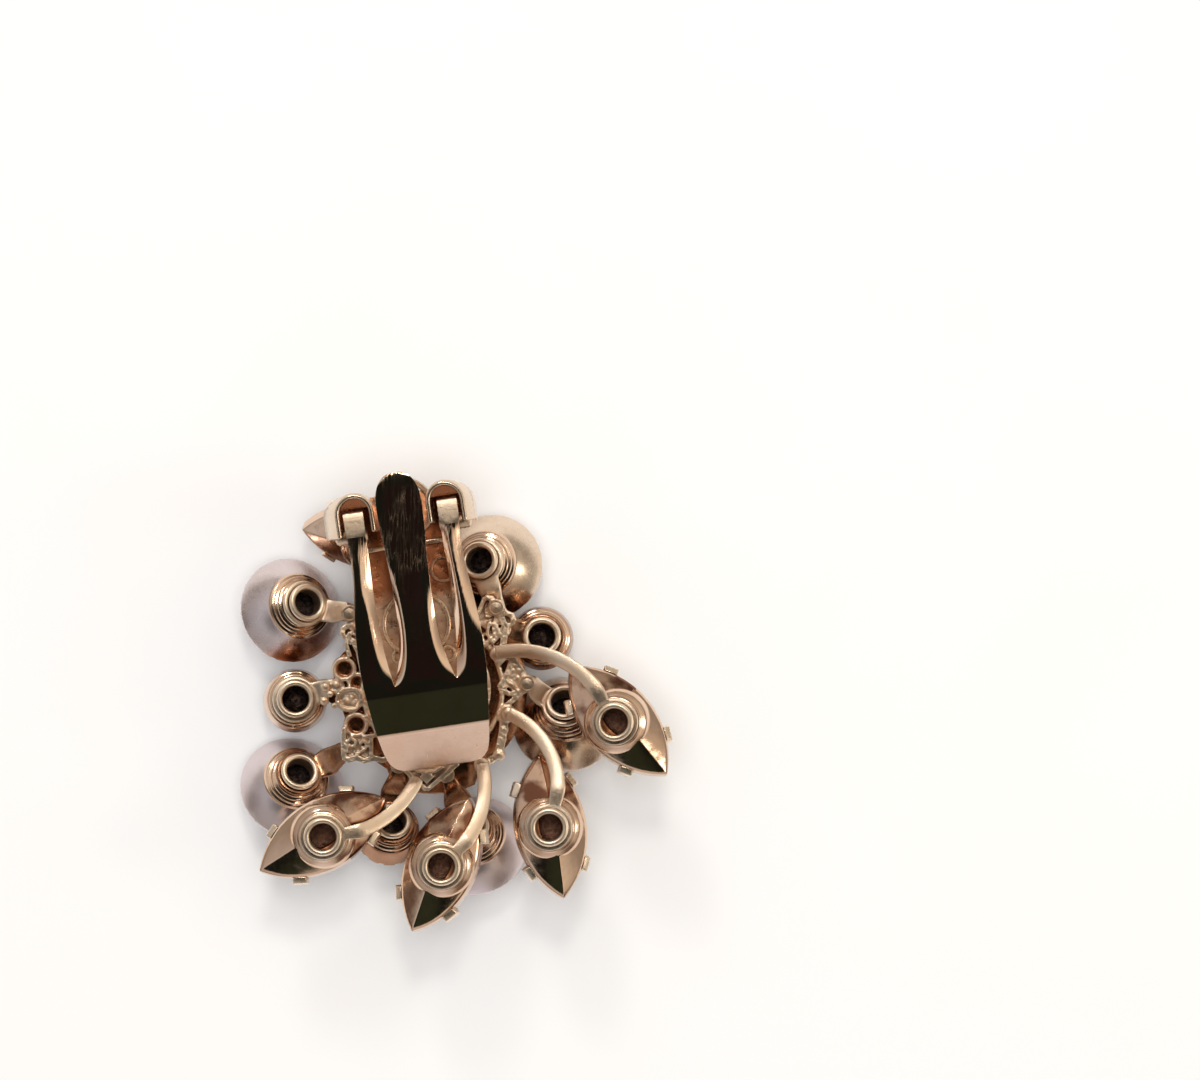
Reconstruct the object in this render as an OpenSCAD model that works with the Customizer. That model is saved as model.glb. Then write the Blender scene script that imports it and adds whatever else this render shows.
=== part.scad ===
// Clip-on earring: stone settings riveted to a pierced base, with a hinged clip on its back.
// It lies face down: +Z is up towards the clip, and the domes of the large stones touch the floor at z = 0.
// Each setting is modelled about its own axis. Its eyelet's top is at zero and depths run down to its stone.

/* [Navette settings] */
// Length of a boat-shaped cup at its rim
navette_length = 11; // [9:0.1:12]
// Width of a boat-shaped cup at its rim
navette_width = 5.4; // [4.6:0.1:6]
// Depth of the rim below the eyelet's top
navette_rim_depth = 3.1; // [3:0.1:3.4]
// Depth of the stone's flat table below the eyelet's top
navette_table_depth = 3.9; // [3.7:0.1:4.2]
// Distance of the prongs from the middle of the cup, along its length
prong_offset = 3.2; // [2.5:0.1:3.8]

/* [Round settings] */
// Diameter of a large round cup at its rim
large_cup_d = 8.1; // [7.8:0.1:8.4]
// Diameter of a small round cup at its rim
small_cup_d = 4.9; // [4.6:0.1:5.2]
// Diameter of the centre cup at its rim
centre_cup_d = 12.2; // [11.5:0.1:12.3]
// Number of teeth on a large rim
large_teeth = 20; // [16:2:24]

/* [Sheet and eyelets] */
// Thickness of the cups' walls
cup_wall = 0.3; // [0.25:0.05:0.35]
// Diameter of the hole through an eyelet
eyelet_bore_d = 2; // [1.8:0.05:2.1]
// Thickness of the curved arms
arm_t = 0.6; // [0.5:0.05:0.7]
// Width of the curved arms
arm_w = 1.05; // [0.9:0.05:1.3]
// Thickness of the short strips
strip_t = 0.5; // [0.4:0.05:0.6]
// Width of the short strips
strip_w = 1.3; // [1:0.05:1.5]

/* [Filigree base] */
// Height of the underside of the base above the floor
base_z = 5.6; // [5.5:0.1:5.7]
// Thickness of the pierced sheet
base_t = 0.75; // [0.6:0.05:0.8]
// Height of the raised edges over the underside
base_rim_t = 1; // [0.9:0.05:1.1]
// Distance from the middle to the tips of the four straight lobes
straight_lobe_r = 7.3; // [7:0.1:7.5]
// Distance from the middle to the tips of the four slanted lobes
slanted_lobe_r = 8.1; // [7.8:0.1:8.4]

/* [Clip] */
// Distance from the hinge to the end of the lip
lip_reach = 18; // [17:0.1:19]
// Distance from the hinge to the end of the spring tongue
tongue_reach = 4.25; // [3.8:0.05:4.3]
// Largest width of the paddle
paddle_width = 9.44; // [9:0.01:9.6]
// Thickness of the paddle's sheet
paddle_t = 0.65; // [0.55:0.05:0.75]
// Height of the hinge above the floor
hinge_z = 12; // [11.8:0.1:12.6]
// Diameter of the hinge pins
hinge_pin_d = 1.2; // [1:0.05:1.3]
// Clearance between pin and bore, on the radius
hinge_clearance = 0.05; // [0.03:0.01:0.08]

/* [Hidden] */
$fn = 72;
metal = [0.84, 0.66, 0.52];
metal_dark = [0.70, 0.50, 0.38];
milky = [0.86, 0.80, 0.79];
smoky = [0.42, 0.26, 0.18];
clear = [0.82, 0.80, 0.78];

// Middle of the whole outline in the layout below, brought to the origin
outline_middle = [0.1465, 0.1295];

// Layers of a setting, as depths below the eyelet's top
roll_depth = 0.35;
washer_depth = roll_depth + strip_t;
back_inside_depth = washer_depth + 0.35;
flange_t = 0.2;
tube_r = eyelet_bore_d / 2 + 0.2;
roll_r = tube_r + 0.25;
hole_r = tube_r + 0.05;
washer_r = 1.7;
arm_end_r = 1.95;

// Navette cup: two side-by-side cones cross, which leaves a boat with a ridge at each end
navette_round_r = (pow(navette_length, 2) + pow(navette_width, 2)) / (4 * navette_width);
navette_spread = navette_round_r - navette_width / 2;
navette_back_length = 4;
navette_back_r = sqrt(pow(navette_spread, 2) + pow(navette_back_length / 2, 2));
navette_lip = 0.3;
boss_r = 1.9;

// Columns: x, y, height of the eyelet top, lean, direction of the lean, turn of the long axis
navettes = [
    [12.3, -1.2, 10.6, 6, -15, -48],
    [7.45, -9.1, 10.2, 3, -80, -80],
    [-0.6, -12, 10.5, 2, -113, -113],
    [-9.45, -9.8, 10.4, 3, -150, -150],
    [-6.3, 11.2, 5.8, 30, 80, 172]
];
// Columns: inner end x, inner end y, sideways bulge of the curve
navette_arm_roots = [
    [3.5, 3.8, 2],
    [4.35, -0.8, 2],
    [2.3, -4.6, 1.3],
    [-2.6, -5.6, 1.3],
    [-4.2, 7.4, 0]
];

// Large stones: depth of the girdle, height of the smooth dome over it, and the sphere that it is cut from
stone_inset = 0.45;
large_girdle_r = large_cup_d / 2 - stone_inset;
large_girdle_depth = 3.8;
large_back_depth = 2.4;
large_dome_h = 2.2;
function dome_radius(girdle_r, dome_h) = (pow(girdle_r, 2) + pow(dome_h, 2)) / (2 * dome_h);
large_dome_r = dome_radius(large_girdle_r, large_dome_h);
large_dome_middle = large_girdle_depth + large_dome_h - large_dome_r;

// Columns: x, y, lean, direction of the lean, inner end x, inner end y of the strip
large_rounds = [
    [-10.85, 7.65, 27, 202, -7.7, 6.8],
    [2.05, 10.85, 15, -31, 3.4, 7.25],
    [-11.45, -5.1, 27, 239, -7.6, -3.4],
    [8.55, 0.15, 29, -89, 5.75, 1.5],
    [1.4, -9.3, 27, -80, -0.4, -5.4]
];
// Columns: x, y, lean, direction of the lean, inner end x and y of the strip, height of the eyelet top
small_rounds = [
    [6.85, 5.1, 5, -108, 3.9, 5.6, 5.9],
    [-11.8, 0.35, 7, 225, -8.7, 1.25, 6],
    [-4.47, -8.84, 28, 250, -4, -4.7, 5.8]
];

// Filigree base
base_middle = [-1.4, 1.1];
first_lobe_angle = 3;
base_top = base_z + base_rim_t;
bead_r = 0.24;
pad_r = 0.82;
rivet_head_r = 0.55;
rivet_shank_r = 0.3;
rivet_hole_r = 0.33;
arm_seat_t = arm_t + 0.1;
arm_foot_r = 0.75;

// Centre setting
centre_top = base_top + 1.05;
centre_back_depth = centre_top - base_z;
centre_girdle_r = centre_cup_d / 2 - stone_inset;
centre_dome_h = 2.3;
centre_girdle_depth = centre_top - centre_dome_h - 0.2;

// Clip
clip_place = [-3.35, 13.2];
clip_turn = 8.5;
plate_t = 0.7;
plate_half_w = 3.6;
plate_end = -14.6;
lug_wall = 0.45;
lug_middle_x = 3.35;
lug_r = 1.45;
lug_top = 1.2;
arm_inner_x = 2.65;
arm_outer_x = 4.05;
slot_end = [2.3, -11.6];

// Puts a setting with its eyelet's top at a point, with its stone leaning towards a direction
module place_setting(point, lean, toward, turn = 0) {
    translate(point)
        rotate([0, 0, toward])
            rotate([0, -lean, 0])
                rotate([0, 0, turn - toward])
                    children();
}

module place_navette(i) {
    row = navettes[i];
    place_setting([row[0], row[1], row[2]], row[3], row[4], row[5]) children();
}

// A large stone's dome touches the floor, which settles how high its eyelet is
function large_top_z(i) = large_dome_middle * cos(large_rounds[i][2]) + large_dome_r;

module place_large(i) {
    row = large_rounds[i];
    place_setting([row[0], row[1], large_top_z(i)], row[2], row[3]) children();
}

module place_small(i) {
    row = small_rounds[i];
    place_setting([row[0], row[1], row[6]], row[2], row[3]) children();
}

module place_clip() {
    translate([clip_place[0], clip_place[1], 0])
        rotate([0, 0, clip_turn])
            children();
}

module whole_earring() {
    translate([-outline_middle[0], -outline_middle[1], 0]) children();
}

// Tube with a rolled rim on top and a flange inside the cup
module eyelet(shank = back_inside_depth) {
    bore_r = eyelet_bore_d / 2;
    end = shank + flange_t;
    rotate_extrude()
        polygon([
            [bore_r, -0.1], [bore_r + 0.1, 0], [roll_r - 0.15, 0], [roll_r, -0.15],
            [roll_r, -roll_depth], [tube_r, -roll_depth], [tube_r, -shank],
            [roll_r, -shank], [roll_r, -end], [bore_r, -end]
        ]);
}

// Room that an arm leaves for the tube, the rolled rim and the cup of its setting
module setting_room(cup_r = 2.6) {
    translate([0, 0, -6]) cylinder(r = hole_r, h = 9);
    translate([0, 0, -roll_depth]) cylinder(r = roll_r + 0.05, h = 4);
    translate([0, 0, -washer_depth - 5]) cylinder(r = cup_r, h = 5);
}

module washer() {
    translate([0, 0, -washer_depth]) cylinder(r = washer_r, h = strip_t);
}

// Two crossing cones of one depth, with their round sides reaching past each other
module crossing_cones(top_r, bottom_r, top_depth, bottom_depth) {
    intersection_for (side = [-1, 1])
        translate([0, side * navette_spread, -bottom_depth])
            cylinder(r1 = bottom_r, r2 = top_r, h = bottom_depth - top_depth, $fn = 144);
}

module navette_cup_shape() {
    rim_end = navette_rim_depth + navette_lip;
    inner_round_r = navette_round_r - cup_wall;
    difference() {
        union() {
            crossing_cones(navette_back_r, navette_round_r, washer_depth + 0.1, navette_rim_depth);
            crossing_cones(navette_round_r, navette_round_r, navette_rim_depth, rim_end);
            translate([0, 0, -2.3]) cylinder(r = boss_r, h = 2.3 - washer_depth);
        }
        crossing_cones(navette_back_r - cup_wall, inner_round_r, washer_depth + 0.4, navette_rim_depth);
        crossing_cones(inner_round_r, inner_round_r, navette_rim_depth, rim_end + 1);
        translate([0, 0, -2.4]) cylinder(r = boss_r - cup_wall, h = 2.4 - back_inside_depth);
        translate([0, 0, -3]) cylinder(r = hole_r, h = 3);
    }
    navette_prongs();
}

// Four narrow tabs that stand outside the rim and fold over the stone's edge
module navette_prongs() {
    prong_w = 0.8;
    prong_t = 0.4;
    half_w = sqrt(pow(navette_round_r, 2) - pow(prong_offset, 2)) - navette_spread;
    slope = asin(prong_offset / navette_round_r);
    for (end = [-1, 1], side = [-1, 1])
        translate([end * prong_offset, side * half_w, 0])
            rotate([0, 0, -end * side * slope]) {
                translate([-prong_w / 2, side > 0 ? -0.05 : 0.05 - prong_t, -navette_rim_depth - 0.75])
                    cube([prong_w, prong_t, 1.35]);
                translate([-prong_w / 2, side > 0 ? -0.5 : -0.2, -navette_rim_depth - 0.95])
                    cube([prong_w, 0.7, 0.25]);
            }
}

// Points of a boat-shaped outline scaled about its middle, at one depth
function navette_ring(length, width, depth, steps = 6) = let (
    r = (pow(length, 2) + pow(width, 2)) / (4 * width),
    reach = asin(length / 2 / r),
    gap = r - width / 2
) concat(
    [for (k = [0:steps - 1]) let (a = reach * (1 - 2 * k / steps)) [r * sin(a), r * cos(a) - gap, -depth]],
    [for (k = [0:steps - 1]) let (a = reach * (1 - 2 * k / steps)) [-r * sin(a), gap - r * cos(a), -depth]]
);

function round_ring(radius, depth, steps, flat = 1) = [
    for (k = [0:steps - 1])
        let (r = radius * (k % 2 == 0 ? 1 : flat), a = 360 * k / steps)
            [r * cos(a), r * sin(a), -depth]
];

// Closed solid through rings of equal length, the deepest one last
module facets(rings) {
    n = len(rings[0]);
    last = len(rings) - 1;
    sides = [
        for (j = [0:last - 1], k = [0:n - 1])
            let (a = j * n + k, b = j * n + (k + 1) % n)
                each [[a, b, b + n], [a, b + n, a + n]]
    ];
    top = [for (k = [1:n - 2]) [0, k + 1, k]];
    bottom = [for (k = [1:n - 2]) [last * n, last * n + k, last * n + k + 1]];
    polyhedron([for (ring = rings) each ring], concat(sides, top, bottom));
}

module navette_stone_shape() {
    l = navette_length - 1.1;
    w = navette_width - 0.85;
    facets([
        navette_ring(l * 0.42, w * 0.2, 1.75),
        navette_ring(l, w, navette_rim_depth),
        navette_ring(l, w, navette_rim_depth + 0.2),
        navette_ring(l * 0.62, w * 0.6, navette_table_depth)
    ]);
}

// Arm along an arc from its root on the base, tipped up so that it meets the washer of its setting
module curved_arm(i) {
    root = navette_arm_roots[i];
    tip = [navettes[i][0], navettes[i][1]];
    run = norm(tip - [root[0], root[1]]);
    washer_z = navettes[i][2] - (roll_depth + washer_depth) / 2;
    rise = (washer_z - base_top - arm_t / 2) * run / (run - arm_end_r);
    chord = sqrt(pow(run, 2) + pow(rise, 2));
    r = (pow(chord / 2, 2) + pow(root[2], 2)) / (2 * root[2]);
    half = asin(chord / 2 / r);
    translate([root[0], root[1], base_top])
        rotate([0, -atan2(rise, run), atan2(tip[1] - root[1], tip[0] - root[0])])
            translate([chord / 2, root[2] - r, 0])
                rotate([0, 0, 90 - half])
                    rotate_extrude(angle = 2 * half, $fn = 144)
                        translate([r - arm_w / 2, 0]) square([arm_w, arm_t]);
}

module long_navette_arm(i) {
    root = navette_arm_roots[i];
    difference() {
        union() {
            curved_arm(i);
            translate([root[0], root[1], base_top]) cylinder(r = arm_foot_r, h = arm_seat_t);
            place_navette(i) washer();
        }
        place_navette(i) setting_room(arm_end_r + 0.1);
        translate([root[0], root[1], base_z]) cylinder(r = rivet_hole_r, h = base_rim_t + arm_seat_t / 2);
        translate([root[0], root[1], base_z]) cylinder(r = 2 * arm_foot_r, h = base_rim_t);
    }
}

// Strip that slopes from below the base to the washer of a setting, with a pad at its inner end
module strip(row, top_z, root) {
    x = row[0];
    y = row[1];
    heading = atan2(root[1] - y, root[0] - x);
    start_r = 1.5;
    washer_z = top_z - (roll_depth + washer_depth) / 2 / cos(row[2]);
    start_z = washer_z + start_r * tan(row[2]) * cos(row[3] - heading);
    run = norm([root[0] - x, root[1] - y]) - start_r - 0.25;
    rise = base_z - strip_t / 2 - 0.15 - start_z;
    translate([x + start_r * cos(heading), y + start_r * sin(heading), start_z])
        rotate([0, -atan2(rise, run), heading])
            translate([-0.1, -strip_w / 2, -strip_t / 2]) cube([norm([run, rise]) + 0.1, strip_w, strip_t]);
    translate([root[0], root[1], base_z - strip_t]) cylinder(r = pad_r, h = strip_t);
}

// Room that a strip leaves for its rivet and for the base above its pad
module strip_room(root) {
    translate([root[0], root[1], base_z - 2]) cylinder(r = rivet_hole_r, h = 3);
    translate([root[0], root[1], base_z]) cylinder(r = 1.3, h = 2);
}

module large_strip_shape(i) {
    row = large_rounds[i];
    difference() {
        union() {
            strip(row, large_top_z(i), [row[4], row[5]]);
            place_large(i) washer();
        }
        place_large(i) setting_room();
        strip_room([row[4], row[5]]);
    }
}

module small_strip_shape(i) {
    row = small_rounds[i];
    difference() {
        union() {
            strip(row, row[6], [row[4], row[5]]);
            place_small(i) washer();
        }
        place_small(i) setting_room();
        strip_room([row[4], row[5]]);
    }
}

module short_navette_arm() {
    row = navettes[4];
    root = navette_arm_roots[4];
    difference() {
        union() {
            strip([row[0], row[1], row[3], row[4]], row[2], root);
            place_navette(4) washer();
        }
        place_navette(4) setting_room();
        strip_room(root);
    }
}

// Round cup with a stepped boss, a flared side and a toothed rim, as pairs of radius and depth
module round_cup(outer, teeth, tooth_w, hole) {
    last = len(outer) - 1;
    rim = outer[last];
    inner = [for (k = [2:last]) [outer[k][0] - cup_wall, outer[k][1] + (k < last ? cup_wall * 0.8 : 0.1)]];
    back = outer[0][1] + 0.35;
    difference() {
        rotate_extrude()
            polygon([
                each [for (p = concat([[0, outer[0][1]]], outer)) [p[0], -p[1]]],
                [0, -rim[1]]
            ]);
        rotate_extrude()
            polygon([
                [0, -back],
                [roll_r + 0.05, -back],
                each [for (p = inner) [p[0], -p[1]]],
                [0, -rim[1] - 0.1]
            ]);
        translate([0, 0, -rim[1]]) cylinder(r = hole, h = rim[1]);
        for (k = [0:teeth - 1])
            rotate([0, 0, 360 * k / teeth])
                translate([rim[0] - 1, -tooth_w / 2, -rim[1] - 0.5]) cube([2, tooth_w, 0.95]);
    }
}

module large_cup_shape() {
    r = large_cup_d / 2;
    round_cup([
        [1.75, washer_depth], [1.75, 1.05], [2.05, 1.1], [2.1, 1.35], [2.4, 1.4], [2.5, 1.75],
        [3.2, 2.15], [3.75, 2.9], [r, 3.75], [r, 4.25]
    ], large_teeth, 0.5, hole_r);
}

module small_cup_shape() {
    r = small_cup_d / 2;
    round_cup([
        [1.75, washer_depth], [1.75, 1.05], [2.05, 1.25], [2.3, 1.9], [r, 2.9], [r, 3.45]
    ], 12, 0.45, hole_r);
}

module centre_cup_shape() {
    r = centre_cup_d / 2;
    round_cup([
        [2.4, centre_back_depth], [2.6, centre_back_depth + 0.4], [4.2, centre_back_depth + 0.8],
        [5.5, centre_back_depth + 1.6], [r, centre_back_depth + 2.8], [r, centre_back_depth + 3.5]
    ], 28, 0.55, hole_r);
}

// Smooth domed stone with a cone-shaped back
module domed_stone(girdle_r, dome_h, girdle_depth, back_depth) {
    dome_r = dome_radius(girdle_r, dome_h);
    back_r = girdle_r - (girdle_depth - back_depth) * 0.95;
    intersection() {
        translate([0, 0, dome_r - dome_h - girdle_depth]) sphere(r = dome_r, $fn = 144);
        translate([0, 0, -girdle_depth - 5]) cylinder(r = girdle_r, h = 5.1);
    }
    translate([0, 0, -girdle_depth]) cylinder(r1 = girdle_r, r2 = back_r, h = girdle_depth - back_depth);
}

module small_stone_shape() {
    r = small_cup_d / 2 - 0.4;
    facets([
        round_ring(0.35, 1.7, 16),
        round_ring(r, 2.85, 16),
        round_ring(r, 3.05, 16),
        round_ring(r * 0.66, 3.85, 16, cos(22.5))
    ]);
}

// Columns: distance from the middle, angle from the lobe's own line, hole radius, ring radius
straight_rings = [[4.55, 0, 0.62, 1], [5.75, -10.5, 0.36, 0.7], [5.75, 10.5, 0.36, 0.7]];
slanted_rings = [[4.5, 0, 0.6, 0.98], [6.3, -7, 0.36, 0.68], [6.3, 7, 0.36, 0.68]];

module lobe_turn(k) {
    rotate([0, 0, first_lobe_angle + 45 * k]) children();
}

module base_rings(column) {
    for (k = [0:7])
        for (row = k % 2 == 0 ? straight_rings : slanted_rings)
            lobe_turn(k)
                rotate([0, 0, row[1]])
                    translate([row[0], 0]) circle(r = row[column], $fn = 36);
}

// Fans on the straight lobes, flared panels on the slanted ones
module base_lobes() {
    for (k = [0:7])
        lobe_turn(k)
            if (k % 2 == 0)
                polygon([
                    [5, -1.9], [5.9, -2], [straight_lobe_r, -0.35],
                    [straight_lobe_r, 0.35], [5.9, 2], [5, 1.9]
                ]);
            else
                polygon([
                    [4.6, -1], [slanted_lobe_r - 0.3, -1.5], [slanted_lobe_r, 0],
                    [slanted_lobe_r - 0.3, 1.5], [4.6, 1]
                ]);
}

// A disc at the inner end of every arm and strip
module arm_pads(r) {
    for (row = navette_arm_roots)
        translate([row[0], row[1]]) circle(r = r, $fn = 36);
    for (row = concat(large_rounds, small_rounds))
        translate([row[4], row[5]]) circle(r = r, $fn = 36);
}

module filigree_base() {
    color(metal) whole_earring() {
        difference() {
            union() {
                translate([base_middle[0], base_middle[1], base_z]) {
                    linear_extrude(base_t) difference() {
                        union() {
                            circle(r = 3.9);
                            base_rings(3);
                            base_lobes();
                            difference() {
                                circle(r = 5.7);
                                circle(r = 4.9);
                            }
                        }
                        base_rings(2);
                    }
                    linear_extrude(base_rim_t) difference() {
                        base_rings(3);
                        base_rings(2);
                    }
                    linear_extrude(base_rim_t) difference() {
                        circle(r = 3.4);
                        circle(r = 2.9);
                    }
                }
                translate([0, 0, base_z]) linear_extrude(base_rim_t) arm_pads(pad_r);
                lobe_beads();
            }
            translate([base_middle[0], base_middle[1], base_z - 1]) cylinder(r = hole_r, h = 3);
            translate([0, 0, base_z - 1]) linear_extrude(3) arm_pads(rivet_hole_r);
        }
    }
}

// Small beads along the ends of the lobes
module lobe_beads() {
    translate([base_middle[0], base_middle[1], base_z + base_t])
        for (k = [0:7])
            lobe_turn(k)
                for (side = [-1, 1])
                    if (k % 2 == 0)
                        translate([6.45, side * 1.2, 0]) sphere(r = bead_r, $fn = 24);
                    else
                        translate([slanted_lobe_r - 0.45, side * 1.1, 0]) sphere(r = bead_r, $fn = 24);
}

module dome_rivet(x, y, seat, foot) {
    translate([x, y, foot]) cylinder(r = rivet_shank_r, h = seat - foot + 0.1, $fn = 24);
    translate([x, y, seat])
        intersection() {
            translate([0, 0, -0.2]) sphere(r = rivet_head_r, $fn = 32);
            cylinder(r = 1, h = 1);
        }
}

module flush_rivet(x, y, top, foot) {
    translate([x, y, foot]) cylinder(r = rivet_shank_r, h = top - foot, $fn = 24);
}

// Only the rivets that show beside the clip have domed heads
module dome_rivets() {
    color(metal) whole_earring() {
        for (i = [0:3]) {
            root = navette_arm_roots[i];
            flush_rivet(root[0], root[1], base_top + arm_seat_t / 2 - 0.05, base_z + 0.05);
        }
        flush_rivet(navette_arm_roots[4][0], navette_arm_roots[4][1], base_top, base_z - strip_t);
        for (row = concat([large_rounds[2], large_rounds[4]], small_rounds))
            flush_rivet(row[4], row[5], base_top, base_z - strip_t);
        for (row = [large_rounds[0], large_rounds[1], large_rounds[3]])
            dome_rivet(row[4], row[5], base_top, base_z - strip_t);
    }
}

// Outline of the clip base's plate, with the rounded far end round the centre eyelet
module plate_outline() {
    translate([-plate_half_w, plate_end + plate_half_w])
        square([2 * plate_half_w, 2 - plate_end - plate_half_w]);
    translate([-lug_middle_x - lug_r, -2]) square([2 * (lug_middle_x + lug_r), 3.6]);
    translate([0, plate_end + plate_half_w]) circle(r = plate_half_w);
}

// Plan of the hooded lug on one side: an arch with a leg outside and a shorter leg inside
module lug_plan(side) {
    translate([side * lug_middle_x, 1.6])
        difference() {
            circle(r = lug_r);
            circle(r = lug_r - lug_wall);
            translate([-3, -6]) square([6, 6]);
        }
    translate([side * (lug_middle_x + lug_r - lug_wall / 2) - lug_wall / 2, -1.2]) square([lug_wall, 2.85]);
    translate([side * (lug_middle_x - lug_r + lug_wall / 2) - lug_wall / 2, -0.2]) square([lug_wall, 1.85]);
}

// Plan of the arch behind the spring tongue
module middle_arch_plan() {
    translate([0, 1.6])
        difference() {
            circle(r = 2.35);
            circle(r = 1.9);
            translate([-3, -6]) square([6, 6]);
        }
}

module clip_base() {
    color(metal) whole_earring() difference() {
        union() {
            place_clip() {
                translate([0, 0, base_top]) linear_extrude(plate_t) plate_outline();
                translate([0, 0, base_top]) linear_extrude(hinge_z + lug_top - base_top) {
                    lug_plan(-1);
                    lug_plan(1);
                    difference() {
                        middle_arch_plan();
                        translate([-1.87, 0]) square([3.74, 5]);
                    }
                }
                translate([0, 0, base_top]) linear_extrude(plate_t + 0.15) middle_arch_plan();
                translate([-2.35, 0, base_top]) cube([4.7, 1.7, plate_t]);
            }
        }
        place_clip() translate([-8, 0, hinge_z]) rotate([0, 90, 0])
            cylinder(r = hinge_pin_d / 2 + hinge_clearance, h = 16);
        translate([base_middle[0], base_middle[1], base_top - 1]) cylinder(r = hole_r, h = 3);
    }
}

// Sheet bent along its length: the upper surface as pairs of distance and height, given a thickness below
module bent_sheet(upper, half_w) {
    n = len(upper);
    rotate([90, 0, 90])
        linear_extrude(height = 2 * half_w, center = true)
            polygon(concat(upper, [for (k = [n - 1:-1:0]) [upper[k][0], upper[k][1] - paddle_t]]));
}

// Sides of the paddle are shallow arcs, and its lip has rounded corners
module paddle_outline() {
    side_r = 34;
    lip_corner_r = 1.6;
    lip_x = paddle_width / 2 - 0.42 - lip_corner_r;
    intersection() {
        side_circle(side_r, -1);
        side_circle(side_r, 1);
        union() {
            translate([-6, -lip_reach + lip_corner_r]) square([12, lip_reach - lip_corner_r - 1.5]);
            translate([-lip_x, -lip_reach]) square([2 * lip_x, 4]);
            for (side = [-1, 1])
                translate([side * lip_x, -lip_reach + lip_corner_r]) circle(r = lip_corner_r);
        }
    }
    for (side = [-1, 1])
        translate([side * (arm_inner_x + arm_outer_x) / 2 - (arm_outer_x - arm_inner_x) / 2, -4.2])
            square([arm_outer_x - arm_inner_x, 5.6]);
}

module side_circle(side_r, side) {
    translate([side * (side_r - paddle_width / 2), -10]) circle(r = side_r, $fn = 360);
}

module tongue_slots() {
    for (side = [-1, 1])
        polygon([
            [0, 2], [0, -7.5], [side * 1.35, -8], [side * slot_end[0], slot_end[1]],
            [side * 2.75, -6], [side * arm_inner_x, -1.5], [side * arm_inner_x, 2]
        ]);
}

module tongue_outline() {
    top_r = 2.26;
    intersection() {
        union() {
            translate([0, tongue_reach - top_r]) circle(r = top_r);
            translate([-3, -10]) square([6, tongue_reach - top_r + 10]);
        }
        polygon([
            [-1.9, -10], [1.9, -10], [1.4, -8], [1.25, -5.3], [1.55, 0], [1.72, 5],
            [-1.72, 5], [-1.55, 0], [-1.25, -5.3], [-1.4, -8]
        ]);
    }
}

module clip_paddle() {
    main_upper = [
        [1.4, 0.85], [-1, 1.05], [-6, 1.25], [-9, 1.15], [-12.2, 0.95], [-15.05, 0.05], [-lip_reach, -2.6]
    ];
    tongue_upper = [
        [tongue_reach, 0.25], [tongue_reach - 0.15, 0.8], [tongue_reach - 0.65, 1.25], [2.6, 1.45],
        [0, 1.35], [-4, 1], [-7, 1], [-9.5, 1.13]
    ];
    color(metal) whole_earring() translate([0, 0, hinge_z]) place_clip() {
        intersection() {
            bent_sheet(main_upper, 6);
            translate([0, 0, -5]) linear_extrude(10) difference() {
                paddle_outline();
                tongue_slots();
            }
        }
        intersection() {
            bent_sheet(tongue_upper, 3);
            translate([0, 0, -5]) linear_extrude(10) tongue_outline();
        }
        for (side = [-1, 1]) {
            translate([side > 0 ? arm_inner_x : -arm_outer_x, 0, 0])
                rotate([0, 90, 0]) cylinder(r = 0.95, h = arm_outer_x - arm_inner_x);
            translate([side > 0 ? arm_outer_x - 0.1 : -arm_outer_x + 0.1, 0, 0])
                rotate([0, side * 90, 0]) cylinder(r = hinge_pin_d / 2, h = 1.05);
        }
    }
}

module centre_place() {
    whole_earring() translate([base_middle[0], base_middle[1], centre_top]) children();
}

module centre_eyelet() {
    color(metal) centre_place() eyelet(centre_back_depth + 0.35);
}

module centre_cup() {
    color(metal) centre_place() centre_cup_shape();
}

module centre_stone() {
    color(milky) centre_place()
        domed_stone(centre_girdle_r, centre_dome_h, centre_girdle_depth, centre_girdle_depth - 1.4);
}

module navette_cup(i) {
    color(metal) whole_earring() place_navette(i) navette_cup_shape();
}

module navette_stone(i) {
    color(smoky) whole_earring() place_navette(i) navette_stone_shape();
}

module navette_eyelet(i) {
    color(metal) whole_earring() place_navette(i) eyelet();
}

module navette_arm(i) {
    color(metal_dark) whole_earring() {
        if (i < 4) long_navette_arm(i);
        else short_navette_arm();
    }
}

module large_cup(i) {
    color(metal) whole_earring() place_large(i) large_cup_shape();
}

module large_stone(i) {
    color(milky) whole_earring() place_large(i)
        domed_stone(large_girdle_r, large_dome_h, large_girdle_depth, large_back_depth);
}

module large_eyelet(i) {
    color(metal) whole_earring() place_large(i) eyelet();
}

module large_strip(i) {
    color(metal_dark) whole_earring() large_strip_shape(i);
}

module small_cup(i) {
    color(metal) whole_earring() place_small(i) small_cup_shape();
}

module small_stone(i) {
    color(clear) whole_earring() place_small(i) small_stone_shape();
}

module small_eyelet(i) {
    color(metal) whole_earring() place_small(i) eyelet();
}

module small_strip(i) {
    color(metal_dark) whole_earring() small_strip_shape(i);
}

filigree_base();
clip_base();
clip_paddle();
dome_rivets();
centre_cup();
centre_stone();
centre_eyelet();

for (i = [0:4]) {
    navette_cup(i);
    navette_stone(i);
    navette_eyelet(i);
    navette_arm(i);
    large_cup(i);
    large_stone(i);
    large_eyelet(i);
    large_strip(i);
}
for (i = [0:2]) {
    small_cup(i);
    small_stone(i);
    small_eyelet(i);
    small_strip(i);
}
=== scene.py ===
# Clip-on earring lying face down: rose-gold settings, arms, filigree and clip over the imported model
import bpy
import bmesh
import math
from mathutils import Matrix, Vector


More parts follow.
